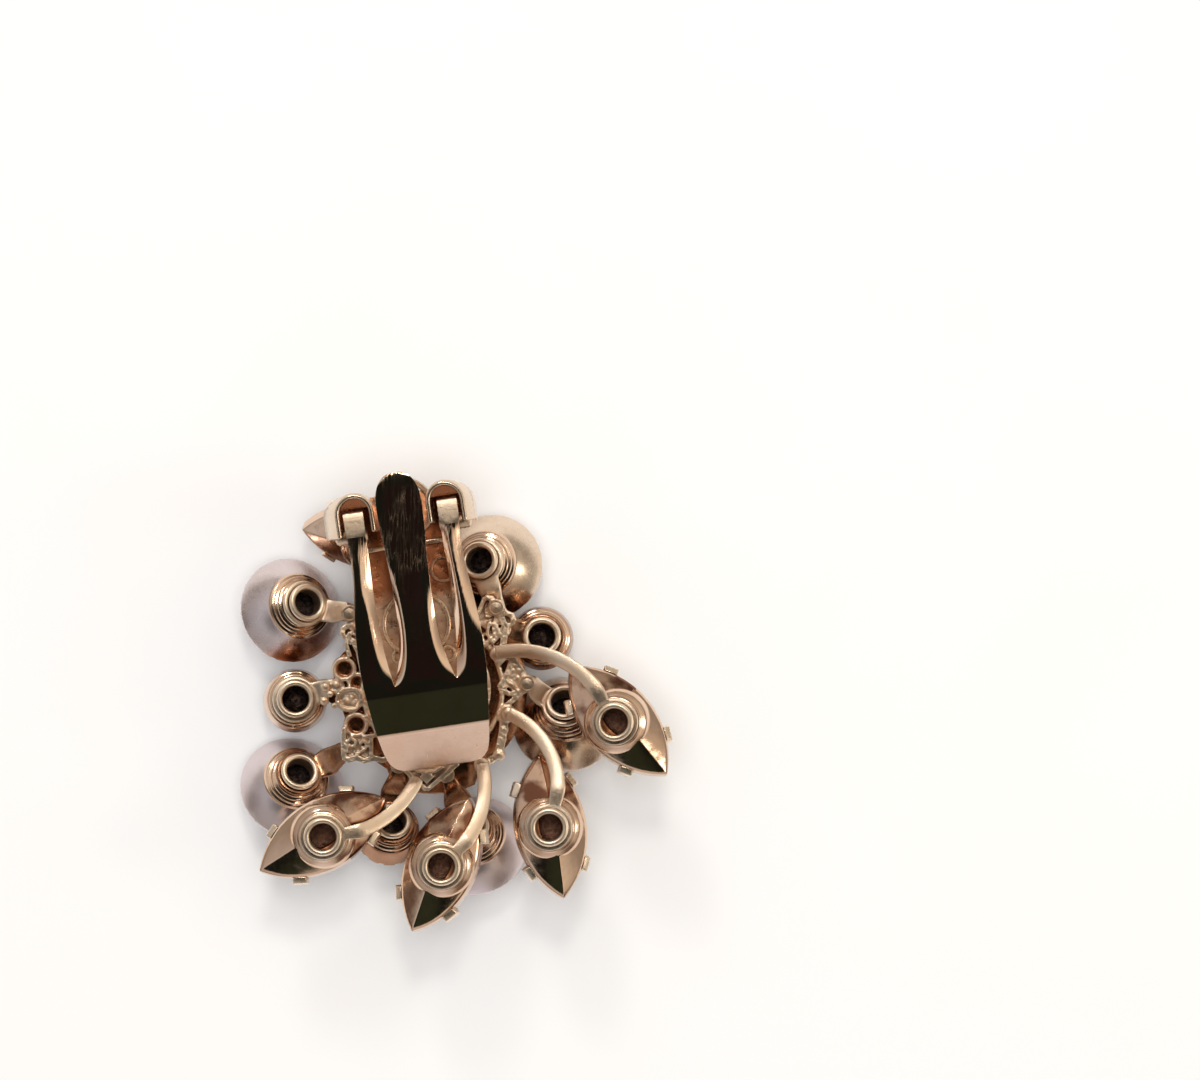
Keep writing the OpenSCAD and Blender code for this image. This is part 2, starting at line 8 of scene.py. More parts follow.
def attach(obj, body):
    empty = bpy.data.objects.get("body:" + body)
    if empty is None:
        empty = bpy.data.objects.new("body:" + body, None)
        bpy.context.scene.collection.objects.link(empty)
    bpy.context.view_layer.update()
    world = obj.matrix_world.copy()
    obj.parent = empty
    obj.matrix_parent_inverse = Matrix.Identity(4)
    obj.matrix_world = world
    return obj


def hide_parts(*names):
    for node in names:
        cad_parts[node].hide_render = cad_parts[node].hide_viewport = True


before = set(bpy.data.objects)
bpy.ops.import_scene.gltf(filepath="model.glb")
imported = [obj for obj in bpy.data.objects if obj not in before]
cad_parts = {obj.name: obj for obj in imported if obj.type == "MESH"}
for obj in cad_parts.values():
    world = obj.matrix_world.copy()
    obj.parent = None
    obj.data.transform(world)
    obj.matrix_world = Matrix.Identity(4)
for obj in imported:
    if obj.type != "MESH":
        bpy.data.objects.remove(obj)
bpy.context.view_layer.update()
fixedBody = "earring"
movingBody = "paddle"

# Everything is modelled in millimetres about its own axis and shrinks to metres when it is put in place
layout = {
    "middle": (0.1465, 0.1295),
    "baseMiddle": (-1.4, 1.1),
    "baseUnder": 5.6,
    "baseTop": 6.6,
    "hinge": (-3.35, 13.2, 12.0),
    "clipTurn": 8.5,
    # x, y, height of the eyelet, lean, direction of the lean, turn of the long axis
    "navettes": [
        (12.3, -1.2, 10.6, 6, -15, -48),
        (7.45, -9.1, 10.2, 3, -80, -80),
        (-0.6, -12.0, 10.5, 2, -113, -113),
        (-9.45, -9.8, 10.4, 3, -150, -150),
        (-6.3, 11.2, 5.8, 30, 80, 172),
    ],
    # inner end x, inner end y, sideways bulge
    "armRoots": [
        (3.5, 3.8, 2.0), (4.35, -0.8, 2.0), (2.3, -4.6, 1.3), (-2.6, -5.6, 1.3), (-4.2, 7.4, 0.0)
    ],
    # x, y, lean, direction of the lean, inner end x, inner end y
    "largeRounds": [
        (-10.85, 7.65, 27, 202, -7.7, 6.8),
        (2.05, 10.85, 15, -31, 3.4, 7.25),
        (-11.45, -5.1, 27, 239, -7.6, -3.4),
        (8.55, 0.15, 29, -89, 5.75, 1.5),
        (1.4, -9.3, 27, -80, -0.4, -5.4),
    ],
    # x, y, lean, direction of the lean, inner end x, inner end y, height of the eyelet
    "smallRounds": [
        (6.85, 5.1, 5, -108, 3.9, 5.6, 5.9),
        (-11.8, 0.35, 7, 225, -8.7, 1.25, 6.0),
        (-4.47, -8.84, 28, 250, -4.0, -4.7, 5.8),
    ],
    "domeMiddle": 1.955,
    "domeRadius": 4.045,
    "centreTop": 7.65,
}


def shift(x, y, z):
    return Matrix.Translation((x, y, z))


def turnZ(angle):
    return Matrix.Rotation(math.radians(angle), 4, "Z")


def turnY(angle):
    return Matrix.Rotation(math.radians(angle), 4, "Y")


def flatPlace(x, y, z=0.0, turn=0.0):
    return shift(x - layout["middle"][0], y - layout["middle"][1], z) @ turnZ(turn)


def settingPlace(x, y, z, lean, toward, turn=0.0):
    return flatPlace(x, y, z, toward) @ turnY(-lean) @ turnZ(turn - toward)


def navettePlace(i):
    return settingPlace(*layout["navettes"][i])


def largeTop(i):
    lean = math.radians(layout["largeRounds"][i][2])
    return layout["domeMiddle"] * math.cos(lean) + layout["domeRadius"]


def largePlace(i):
    x, y, lean, toward = layout["largeRounds"][i][:4]
    return settingPlace(x, y, largeTop(i), lean, toward)


def smallPlace(i):
    x, y, lean, toward = layout["smallRounds"][i][:4]
    return settingPlace(x, y, layout["smallRounds"][i][6], lean, toward)


clipPlace = flatPlace(*layout["hinge"][:2], 0.0, layout["clipTurn"])
centrePlace = flatPlace(*layout["baseMiddle"], layout["centreTop"])


# Small tools of the bench
def pickOnly(piece):
    bpy.ops.object.select_all(action="DESELECT")
    piece.select_set(True)
    bpy.context.view_layer.objects.active = piece


def startEdit(piece, kind="VERT"):
    pickOnly(piece)
    bpy.ops.object.mode_set(mode="EDIT")
    bpy.ops.mesh.select_mode(type=kind)
    bpy.ops.mesh.select_all(action="DESELECT")


def endEdit():
    bpy.ops.object.mode_set(mode="OBJECT")


def chooseAll():
    bpy.ops.mesh.select_all(action="SELECT")


# A new primitive becomes the active object and the only selected one
def addPiece(add, **settings):
    bpy.ops.object.select_all(action="DESELECT")
    add(**settings)
    return bpy.context.active_object


def chooseVerts(piece, test):
    bpy.ops.mesh.select_all(action="DESELECT")
    mesh = bmesh.from_edit_mesh(piece.data)
    for v in mesh.verts:
        v.select_set(bool(test(v.co)))
    mesh.select_flush_mode()
    bmesh.update_edit_mesh(piece.data)


def chooseEdges(piece, test):
    bpy.ops.mesh.select_all(action="DESELECT")
    mesh = bmesh.from_edit_mesh(piece.data)
    for e in mesh.edges:
        if test((e.verts[0].co + e.verts[1].co) / 2, e):
            e.select_set(True)
    bmesh.update_edit_mesh(piece.data)


def chooseFaces(piece, test):
    bpy.ops.mesh.select_all(action="DESELECT")
    mesh = bmesh.from_edit_mesh(piece.data)
    for f in mesh.faces:
        if test(f.calc_center_median(), f.normal):
            f.select_set(True)
    bmesh.update_edit_mesh(piece.data)


def pull(move=(0, 0, 0), grow=None, about=(0, 0, 0), yaw=0.0):
    bpy.ops.mesh.extrude_region_move(TRANSFORM_OT_translate={"value": move})
    if grow:
        bpy.ops.transform.resize(value=grow, center_override=about)
    if yaw:
        bpy.ops.transform.rotate(value=-yaw, orient_axis="Z", center_override=about)


def addModifier(piece, kind, **settings):
    m = piece.modifiers.new(kind.title(), kind)
    for key, value in settings.items():
        setattr(m, key, value)
    pickOnly(piece)
    bpy.ops.object.modifier_apply(modifier=m.name)


def faceOutwards():
    chooseAll()
    bpy.ops.mesh.normals_make_consistent(inside=False)


def tidyNormals(piece, merge=0.0005):
    startEdit(piece)
    chooseAll()
    bpy.ops.mesh.remove_doubles(threshold=merge)
    faceOutwards()
    endEdit()


# Turns an open sheet over when its normals came out downwards
def faceUp(piece):
    if sum(f.normal.z for f in piece.data.polygons) < 0:
        startEdit(piece)
        chooseAll()
        bpy.ops.mesh.flip_normals()
        endEdit()


# Closes the open rims whose middles pass the test
def closeRims(piece, test=lambda mid: True):
    chooseEdges(piece, lambda mid, e: len(e.link_faces) == 1 and test(mid))
    bpy.ops.mesh.edge_face_add()


def roundEdges(piece, width, segments, angle):
    limit = math.radians(angle)
    addModifier(piece, "BEVEL", width=width, segments=segments, limit_method="ANGLE", angle_limit=limit)


def smoothShade(piece, angle=35):
    pickOnly(piece)
    bpy.ops.object.shade_smooth_by_angle(angle=math.radians(angle))


def joinPieces(pieces, name):
    bpy.ops.object.select_all(action="DESELECT")
    for p in pieces:
        p.select_set(True)
    bpy.context.view_layer.objects.active = pieces[0]
    if len(pieces) > 1:
        bpy.ops.object.join()
    pieces[0].name = name
    return pieces[0]


def copyOf(piece, name):
    pickOnly(piece)
    bpy.ops.object.duplicate()
    twin = bpy.context.active_object
    twin.name = name
    return twin


def putInPlace(piece, place, body, nodes, material=None):
    pickOnly(piece)
    piece.matrix_world = Matrix.Scale(0.001, 4) @ place @ piece.matrix_world
    bpy.ops.object.transform_apply(location=True, rotation=True, scale=True)
    if material:
        dress(piece, material)
    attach(piece, body)
    if nodes:
        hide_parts(*nodes)


def placeCopy(model, family, node, i, place, material=None):
    twin = copyOf(model, f"{family}{i + 1}")
    putInPlace(twin, place, fixedBody, [f"{node}_{i + 1}"], material)


def dress(piece, material):
    piece.data.materials.clear()
    piece.data.materials.append(material)


# Gives the chosen faces a further material
def paintFaces(piece, material, test):
    piece.data.materials.append(material)
    startEdit(piece, "FACE")
    chooseFaces(piece, test)
    piece.active_material_index = len(piece.data.materials) - 1
    bpy.ops.object.material_slot_assign()
    endEdit()


def applyPlace(piece):
    pickOnly(piece)
    bpy.ops.object.transform_apply(location=True, rotation=True, scale=True)


def setPlace(piece, place):
    piece.matrix_world = place
    applyPlace(piece)


# Starts an upright wall: a line of edges led from point to point in plan, left in edit mode
def lineAlong(points, z):
    line = addPiece(bpy.ops.mesh.primitive_plane_add, size=1)
    startEdit(line)
    chooseAll()
    bpy.ops.mesh.merge(type="CENTER")
    bpy.ops.transform.translate(value=(points[0][0], points[0][1], z))
    for a, b in zip(points, points[1:]):
        pull((b[0] - a[0], b[1] - a[1], 0))
    chooseAll()
    return line


def addBox(middle, size, bevel, segments):
    box = addPiece(bpy.ops.mesh.primitive_cube_add, size=1, location=middle)
    startEdit(box)
    chooseAll()
    bpy.ops.transform.resize(value=size)
    bpy.ops.mesh.bevel(offset=bevel, segments=segments, affect="EDGES")
    endEdit()
    applyPlace(box)
    return box


# A ring of edges pulled from station to station; each station is a radius and a height
def turned(name, profile, segments=96, closed=False):
    radius, height = profile[0]
    circle = {
        "vertices": segments, "radius": radius, "location": (0, 0, height), "fill_type": "NOTHING"
    }
    piece = addPiece(bpy.ops.mesh.primitive_circle_add, **circle)
    piece.name = name
    applyPlace(piece)
    startEdit(piece)
    chooseAll()
    for nextRadius, nextHeight in profile[1:]:
        k = nextRadius / radius
        pull((0, 0, nextHeight - height), (k, k, 1), (0, 0, nextHeight))
        radius, height = nextRadius, nextHeight
    endEdit()
    if closed:
        tidyNormals(piece)
    return piece


def arcStations(centre, radius, start, end, steps):
    out = []
    for k in range(steps + 1):
        a = math.radians(start + (end - start) * k / steps)
        out.append((centre[0] + radius * math.cos(a), centre[1] + radius * math.sin(a)))
    return out


# Materials
def newMaterial(name):
    material = bpy.data.materials.new(name)
    material.use_nodes = True
    tree = material.node_tree
    tree.nodes.clear()
    out = tree.nodes.new("ShaderNodeOutputMaterial")
    shader = tree.nodes.new("ShaderNodeBsdfPrincipled")
    tree.links.new(shader.outputs["BSDF"], out.inputs["Surface"])
    return material, tree, shader


def objectCoords(tree, scale, turn=(0, 0, 0)):
    coords = tree.nodes.new("ShaderNodeTexCoord")
    mapping = tree.nodes.new("ShaderNodeMapping")
    mapping.inputs["Scale"].default_value = scale
    mapping.inputs["Rotation"].default_value = turn
    tree.links.new(coords.outputs["Object"], mapping.inputs["Vector"])
    return mapping.outputs["Vector"]


def noiseAt(tree, vector, scale, detail=3.0, rough=0.5):
    noise = tree.nodes.new("ShaderNodeTexNoise")
    noise.inputs["Scale"].default_value = scale
    noise.inputs["Detail"].default_value = detail
    noise.inputs["Roughness"].default_value = rough
    tree.links.new(vector, noise.inputs["Vector"])
    return noise.outputs["Fac"]


def mapValue(tree, value, low, high, newLow, newHigh):
    node = tree.nodes.new("ShaderNodeMapRange")
    node.inputs["From Min"].default_value = low
    node.inputs["From Max"].default_value = high
    node.inputs["To Min"].default_value = newLow
    node.inputs["To Max"].default_value = newHigh
    tree.links.new(value, node.inputs["Value"])
    return node.outputs["Result"]


def mixColours(tree, fac, a, b):
    node = tree.nodes.new("ShaderNodeMix")
    node.data_type = "RGBA"
    for socket, value in (("A", a), ("B", b)):
        target = [s for s in node.inputs if s.name == socket and s.type == "RGBA"][0]
        if isinstance(value, tuple):
            target.default_value = (*value, 1)
        else:
            tree.links.new(value, target)
    tree.links.new(fac, node.inputs["Factor"])
    return [s for s in node.outputs if s.type == "RGBA"][0]


def sumOf(tree, a, b, operation="ADD"):
    node = tree.nodes.new("ShaderNodeMath")
    node.operation = operation
    for socket, value in ((0, a), (1, b)):
        if isinstance(value, float):
            node.inputs[socket].default_value = value
        else:
            tree.links.new(value, node.inputs[socket])
    return node.outputs[0]


def blend(tree, value, low, high, a, b):
    return mixColours(tree, mapValue(tree, value, low, high, 0.0, 1.0), a, b)


# Thin straight scratches: a stretched noise cut to narrow lines
def scratchLines(tree, angle, stretch, width=0.045):
    scale = (1000 * stretch[0], 1000 * stretch[1], 1000)
    vector = objectCoords(tree, scale, (0, 0, math.radians(angle)))
    lines = noiseAt(tree, vector, 1.0, 1.0, 0.4)
    away = sumOf(tree, sumOf(tree, lines, 0.5, "SUBTRACT"), 0.0, "ABSOLUTE")
    return mapValue(tree, away, 0.0, width, 1.0, 0.0)


# one rose gold in lighter and darker copies: partly the metal's own hue, partly painted light and
# shade; bright and pale for lit parts, dim, copper, shadow and crevice for painted shade, cool for the
# painted lavender reflection of the pale floor, mottled for the painted reflection of the crowded
# middle
goldLook = {
    "pale": ((0.93, 0.78, 0.62), (0.89, 0.72, 0.54)),
    "warm": ((0.79, 0.59, 0.44), (0.74, 0.51, 0.36)),
    "cool": ((0.76, 0.67, 0.68), (0.71, 0.61, 0.60)),
    "copper": ((0.42, 0.17, 0.08), (0.32, 0.12, 0.055)),
    "dim": ((0.46, 0.25, 0.15), (0.30, 0.16, 0.09)),
    "bright": ((1.0, 0.82, 0.63), (0.94, 0.72, 0.52)),
    "beige": ((0.80, 0.66, 0.52), (0.74, 0.57, 0.42)),
    "mottled": ((0.66, 0.45, 0.32), (0.20, 0.085, 0.05)),
    "crevice": (0.16, 0.06, 0.025),
    "shadow": (0.42, 0.20, 0.11),
}


def goldMaterial(
    name, tones, rough, bump=0.05, grain=4.0, scratches=0.0, crevices=0.8, brushed=0.0, waves=0.0,
    shadow=0.6, paintedCopperSide=None, cloud=(0.35, 0.15)
):
    material, tree, shader = newMaterial(name)
    vector = objectCoords(tree, (1000, 1000, 1000))
    broad = noiseAt(tree, vector, cloud[0], 3.0)
    fine = noiseAt(tree, vector, grain, 4.0, 0.6)
    tone = blend(tree, broad, 0.5 - cloud[1], 0.5 + cloud[1], *goldLook[tones])
    # painted reflection: a side painted copper as if mirroring its neighbours; direction, start and end
    # along it in millimetres
    if paintedCopperSide:
        along = tree.nodes.new("ShaderNodeVectorMath")
        along.operation = "DOT_PRODUCT"
        tree.links.new(vector, along.inputs[0])
        heading = math.radians(paintedCopperSide[0])
        along.inputs[1].default_value = (math.cos(heading), math.sin(heading), 0)
        ragged = sumOf(tree, noiseAt(tree, vector, 0.5, 3.0), 2.0, "MULTIPLY")
        edge = sumOf(tree, along.outputs["Value"], ragged)
        tone = blend(tree, edge, paintedCopperSide[1], paintedCopperSide[2], tone, goldLook["copper"][0])
    # painted shade: crowded places go copper brown, narrow gaps nearly black
    shades = ((0.005, shadow, goldLook["shadow"]), (0.0007, crevices, goldLook["crevice"]))
    for distance, share, colour in shades:
        if share:
            shade = tree.nodes.new("ShaderNodeAmbientOcclusion")
            shade.samples = 6
            shade.inputs["Distance"].default_value = distance
            covered = mapValue(tree, shade.outputs["AO"], 0.25, 0.75, share, 0.0)
            tone = mixColours(tree, covered, tone, colour)
    tree.links.new(tone, shader.inputs["Base Color"])
    rough = mapValue(tree, fine, 0.3, 0.7, *rough)
    height = fine
    if scratches:
        lines = scratchLines(tree, 25, (2.6, 0.22))
        for angle, stretch in ((-52, (2.2, 0.18)), (72, (3.0, 0.3))):
            lines = sumOf(tree, lines, scratchLines(tree, angle, stretch), "MAXIMUM")
        # worn in patches, and mostly where fingers press
        axes = tree.nodes.new("ShaderNodeSeparateXYZ")
        tree.links.new(vector, axes.inputs[0])
        worn = mapValue(tree, axes.outputs[1], 4.0, 11.0, 0.06, 1.0)
        worn = sumOf(tree, worn, mapValue(tree, broad, 0.45, 0.6, 0.25, 1.0), "MULTIPLY")
        lines = sumOf(tree, lines, worn, "MULTIPLY")
        rough = sumOf(tree, rough, sumOf(tree, lines, scratches, "MULTIPLY"))
    if brushed:
        streaks = noiseAt(tree, objectCoords(tree, (9000, 9000, 1500)), 1.0, 2.0, 0.7)
        rough = sumOf(tree, rough, mapValue(tree, streaks, 0.3, 0.7, 0.0, brushed))
        height = sumOf(tree, height, sumOf(tree, streaks, 0.8, "MULTIPLY"))
    if waves:
        slow = noiseAt(tree, vector, 0.55, 1.5, 0.4)
        height = sumOf(tree, height, sumOf(tree, slow, waves, "MULTIPLY"))
    tree.links.new(rough, shader.inputs["Roughness"])
    bumpNode = tree.nodes.new("ShaderNodeBump")
    bumpNode.inputs["Strength"].default_value = bump
    bumpNode.inputs["Distance"].default_value = 0.0001
    tree.links.new(height, bumpNode.inputs["Height"])
    if scratches:
        groove = tree.nodes.new("ShaderNodeBump")
        groove.inputs["Strength"].default_value = 0.24
        groove.inputs["Distance"].default_value = 0.00002
        tree.links.new(lines, groove.inputs["Height"])
        tree.links.new(groove.outputs["Normal"], bumpNode.inputs["Normal"])
    tree.links.new(bumpNode.outputs["Normal"], shader.inputs["Normal"])
    shader.inputs["Metallic"].default_value = 1.0
    return material


def stoneMaterial(name, colour, second, rough, clear, coat=0.0, cloud=0.5):
    material, tree, shader = newMaterial(name)
    vector = objectCoords(tree, (1000, 1000, 1000))
    haze = noiseAt(tree, vector, cloud, 4.0, 0.6)
    tree.links.new(blend(tree, haze, 0.35, 0.65, colour, second), shader.inputs["Base Color"])
    tree.links.new(mapValue(tree, haze, 0.2, 0.8, rough, rough + 0.05), shader.inputs["Roughness"])
    shader.inputs["Transmission Weight"].default_value = clear
    shader.inputs["IOR"].default_value = 1.54
    shader.inputs["Coat Weight"].default_value = coat
    shader.inputs["Coat Roughness"].default_value = 0.03
    return material


def foilMaterial(name, colour, second):
    material, tree, shader = newMaterial(name)
    vector = objectCoords(tree, (1000, 1000, 1000))
    crinkle = noiseAt(tree, vector, 3.2, 4.0, 0.65)
    tree.links.new(blend(tree, crinkle, 0.4, 0.6, colour, second), shader.inputs["Base Color"])
    tree.links.new(mapValue(tree, crinkle, 0.3, 0.7, 0.25, 0.5), shader.inputs["Roughness"])
    bumpNode = tree.nodes.new("ShaderNodeBump")
    bumpNode.inputs["Strength"].default_value = 0.9
    bumpNode.inputs["Distance"].default_value = 0.00025
    tree.links.new(crinkle, bumpNode.inputs["Height"])
    tree.links.new(bumpNode.outputs["Normal"], shader.inputs["Normal"])
    shader.inputs["Metallic"].default_value = 0.85
    return material


softGold = goldMaterial("softRoseGold", "pale", (0.24, 0.33), 0.03, 4.0, shadow=0.4)
prongGold = goldMaterial("brightProngGold", "pale", (0.24, 0.34), 0.04, 4.0, crevices=0.5, shadow=0.1)
boatGold = goldMaterial("polishedBoatGold", "warm", (0.06, 0.16), 0.08, 2.2, waves=7.0, shadow=0.75)
cupGold = goldMaterial("satinCupGold", "warm", (0.13, 0.22), 0.08, 2.2, waves=7.0, shadow=0.7)
paleCupGold = goldMaterial("paleCupGold", "cool", (0.28, 0.38), 0.05, 2.2, waves=4.0, shadow=0.6)
# painted reflection: the cup's side towards its neighbours turns copper
paintedReflectionCupGold = goldMaterial(
    "paintedReflectionCupGold", "cool", (0.24, 0.34), 0.06, 2.2, waves=5.0, shadow=0.6, paintedCopperSide=(-72, -7.6, -6.2)
)
armGold = goldMaterial("brushedArmGold", "beige", (0.24, 0.36), 0.16, 5.0, brushed=0.14, shadow=0.5)
stripGold = goldMaterial("stripGold", "pale", (0.28, 0.42), 0.10, 5.0, brushed=0.10, shadow=0.7)
dimGold = goldMaterial("shadedStripGold", "dim", (0.16, 0.30), 0.12, 3.0, waves=5.0, shadow=0.6)
beigeCupGold = goldMaterial(
    "beigeCupGold", "beige", (0.20, 0.30), 0.05, 2.2, crevices=0.3, waves=6.0, shadow=0.7
)
# the plate is painted copper towards its hinge end
plateGold = goldMaterial(
    "pittedPlateGold", "warm", (0.22, 0.42), 0.6, 1.1, shadow=0.8, paintedCopperSide=(98.5, 8.6, 9.8)
)
castGold = goldMaterial("castFiligreeGold", "bright", (0.30, 0.44), 0.8, 2.6, crevices=1.0, shadow=0.2)
copperGold = goldMaterial("shadedCopperGold", "copper", (0.18, 0.32), 0.10, 3.0, shadow=0.6)
paddleGold = goldMaterial(
    "scratchedClipGold", "warm", (0.04, 0.09), 0.02, 2.5, scratches=0.24, crevices=0.6, shadow=0.0
)
lipGold = goldMaterial(
    "satinLipGold", "warm", (0.20, 0.28), 0.03, 3.0, crevices=0.0, waves=2.0, shadow=0.0
)
# painted reflection of the crowded middle on the boats' inner ends
crowdReflectionGold = goldMaterial(
    "crowdReflectionBoatGold", "mottled", (0.06, 0.16), 0.10, 2.2, waves=9.0, shadow=0.7, cloud=(0.5, 0.07)
)
eyeletGold = goldMaterial("eyeletGold", "pale", (0.34, 0.44), 0.03, 4.0, crevices=0.7, shadow=0.2)
milky = stoneMaterial("milkyCabochon", (0.82, 0.76, 0.74), (0.74, 0.66, 0.66), 0.06, 0.25, 0.6, 0.35)
smoky = stoneMaterial("smokyNavette", (0.30, 0.17, 0.10), (0.20, 0.11, 0.07), 0.03, 0.55, 0.4, 0.3)
clearGlass = stoneMaterial("clearRound", (0.90, 0.88, 0.86), (0.84, 0.82, 0.80), 0.02, 0.8, 0.3, 0.3)
# foil backs: real foil, its gold painted down to brown and near black as painted shade deep in the
# bores
brownFoil = foilMaterial("brownFoilBack", (0.25, 0.14, 0.10), (0.15, 0.08, 0.055))
darkFoil = foilMaterial("darkFoilBack", (0.10, 0.07, 0.06), (0.015, 0.012, 0.012))
print("materials ready")


# Eyelet: a tube with its end rolled over
eyeletSizes = {
    "bore": 1.0,
    "tube": 1.2,
    "roll": 1.45,
    "shank": 1.25,
    "centreShank": 2.4,
    "flange": 0.2,
}


def makeEyelet(name, shank):
    s = eyeletSizes
    end = shank + s["flange"]
    half = (s["roll"] - s["bore"]) / 2
    profile = [(s["bore"], -end)] + arcStations((s["bore"] + half, -half), half, 180, -60, 16)
    profile += [
        (s["tube"], -0.38), (s["tube"], -shank), (s["roll"], -shank), (s["roll"], -end),
        (s["bore"], -end)
    ]
    piece = turned(name, profile, 72, closed=True)
    smoothShade(piece, 50)
    return piece


eyelet = makeEyelet("eyeletModel", eyeletSizes["shank"])
for i in range(5):
    placeCopy(eyelet, "navetteEyelet", "navette_eyelet", i, navettePlace(i), eyeletGold)
    placeCopy(eyelet, "largeEyelet", "large_eyelet", i, largePlace(i), eyeletGold)
for i in range(3):
    placeCopy(eyelet, "smallEyelet", "small_eyelet", i, smallPlace(i), eyeletGold)
bpy.data.objects.remove(eyelet)
eyelet = makeEyelet("centreEyelet", eyeletSizes["centreShank"])
putInPlace(eyelet, centrePlace, fixedBody, ["centre_eyelet"], softGold)
print("eyelets ready")


# Boat-shaped cup: a lens outline pulled down in steps, a round boss, a rim and four folded prongs
navetteSizes = {
    "length": 11.0,
    "width": 5.4,
    "wall": 0.28,
    # share of the full outline, depth
    "stations": [
        (0.42, 1.25), (0.52, 1.43), (0.65, 1.665), (0.80, 1.935), (0.92, 2.15), (0.965, 2.24),
        (0.99, 2.34), (1.0, 2.5), (1.0, 3.0), (1.0, 3.42)
    ],
    "boss": [
        (1.3, -0.98), (1.78, -1.0), (1.86, -1.04), (1.90, -1.10), (2.00, -1.14), (2.06, -1.19),
        (2.20, -1.27), (2.34, -1.40), (2.44, -1.57), (2.50, -1.8), (2.52, -2.5)
    ],
    # place along the length, side
    "prongs": [(3.2, 1), (3.2, -1), (-3.2, 1), (-3.2, -1)],
    "prong": (1.15, 0.5, 1.05),
    "prongGap": 0.22,
    "prongDepth": 3.05,
    # each cup is rolled a little about its length under its boss
    "rolls": [-13, -11, 13, 10, 0],
    "rollDepth": -3.0,
}


# Radius of the two arcs of a boat's outline
def arcRadius(length, width):
    return (length ** 2 + width ** 2) / (4 * width)


# An outline of two equal arcs that meet in points on the X axis
def lensRing(name, length, width, segments):
    r = arcRadius(length, width)
    circle = {
        "vertices": segments, "radius": r, "location": (0, width / 2 - r, 0), "fill_type": "NOTHING"
    }
    ring = addPiece(bpy.ops.mesh.primitive_circle_add, **circle)
    ring.name = name
    applyPlace(ring)
    startEdit(ring)
    chooseAll()
    bpy.ops.mesh.bisect(plane_co=(0, 0, 0), plane_no=(0, 1, 0), clear_inner=True, use_fill=False)
    endEdit()
    addModifier(ring, "MIRROR", use_axis=(False, True, False), use_clip=True, merge_threshold=0.01)
    return ring


def pullRing(ring, stations):
    share, depth = stations[0]
    startEdit(ring)
    chooseAll()
    bpy.ops.transform.resize(value=(share, share, 1), center_override=(0, 0, 0))
    bpy.ops.transform.translate(value=(0, 0, -depth))
    for nextShare, nextDepth in stations[1:]:
        k = nextShare / share
        pull((0, 0, depth - nextDepth), (k, k, 1), (0, 0, -nextDepth))
        share, depth = nextShare, nextDepth
    endEdit()


def rollPlace(i):
    roll = math.radians(navetteSizes["rolls"][i])
    pivot = shift(0, 0, navetteSizes["rollDepth"])
    return pivot @ Matrix.Rotation(roll, 4, "X") @ pivot.inverted()


def makeNavetteShell():
    s = navetteSizes
    shell = lensRing("navetteShell", s["length"], s["width"], 192)
    pullRing(shell, s["stations"])
    startEdit(shell, "EDGE")
    faceOutwards()
    # the two keels are softened
    chooseEdges(shell, lambda mid, e: abs(mid.y) < 0.001 and len(e.link_faces) == 2)
    bpy.ops.mesh.bevel(offset=0.07, segments=3, affect="EDGES")
    endEdit()
    faceUp(shell)
    addModifier(shell, "SOLIDIFY", thickness=s["wall"], offset=-1, use_even_offset=True)
    dress(shell, boatGold)
    # painted reflection: the inner end is painted dark and blotched, as if mirroring the crowded middle
    paintFaces(shell, crowdReflectionGold, lambda mid, normal: mid.x < -0.9)
    smoothShade(shell, 24)
    return shell


def makeProngs():
    s = navetteSizes
    r = arcRadius(s["length"], s["width"])
    tabs = []
    for x, side in s["prongs"]:
        halfWidth = math.sqrt(r * r - x * x) - (r - s["width"] / 2)
        slope = math.degrees(math.asin(x / r))
        tab = addPiece(bpy.ops.mesh.primitive_cube_add, size=1)
        startEdit(tab, "FACE")
        chooseAll()
        bpy.ops.transform.resize(value=s["prong"], center_override=(0, 0, 0))
        chooseFaces(tab, lambda mid, normal: normal.z < -0.9)  # folded in under the stone's edge
        pull((0, -0.12, -0.16))
        pull((0, -0.34, -0.10), (0.92, 0.8, 1), (0, -0.46, -0.7))
        chooseFaces(tab, lambda mid, normal: normal.z > 0.9)
        pull((0, -0.08, 0.2), (0.8, 0.62, 1), (0, -0.08, 0.7))
        bpy.ops.transform.rotate(
            value=math.radians(34), orient_axis="X", center_override=(0, -0.1, 0.72)
        )
        endEdit()
        roundEdges(tab, 0.13, 3, 25)
        outside = shift(x, side * (halfWidth + s["prongGap"]), -s["prongDepth"])
        setPlace(tab, outside @ turnZ(-side * slope) @ Matrix.Scale(side, 4, (0, 1, 0)))
        tidyNormals(tab)
        smoothShade(tab, 40)
        tabs.append(tab)
    return joinPieces(tabs, "prongs")


prongs = makeProngs()
dress(prongs, prongGold)
rolledCup = joinPieces([makeNavetteShell(), prongs], "navetteCupModel")
boss = turned("navetteBoss", navetteSizes["boss"], 72)
tidyNormals(boss)
dress(boss, cupGold)
smoothShade(boss, 40)
for i in range(5):
    twin = copyOf(rolledCup, f"navetteCup{i + 1}")
    setPlace(twin, rollPlace(i))
    twin = joinPieces([twin, copyOf(boss, "boss")], f"navetteCup{i + 1}")
    putInPlace(twin, navettePlace(i), fixedBody, [f"navette_cup_{i + 1}"])
bpy.data.objects.remove(rolledCup)
bpy.data.objects.remove(boss)
print("navette cups ready")


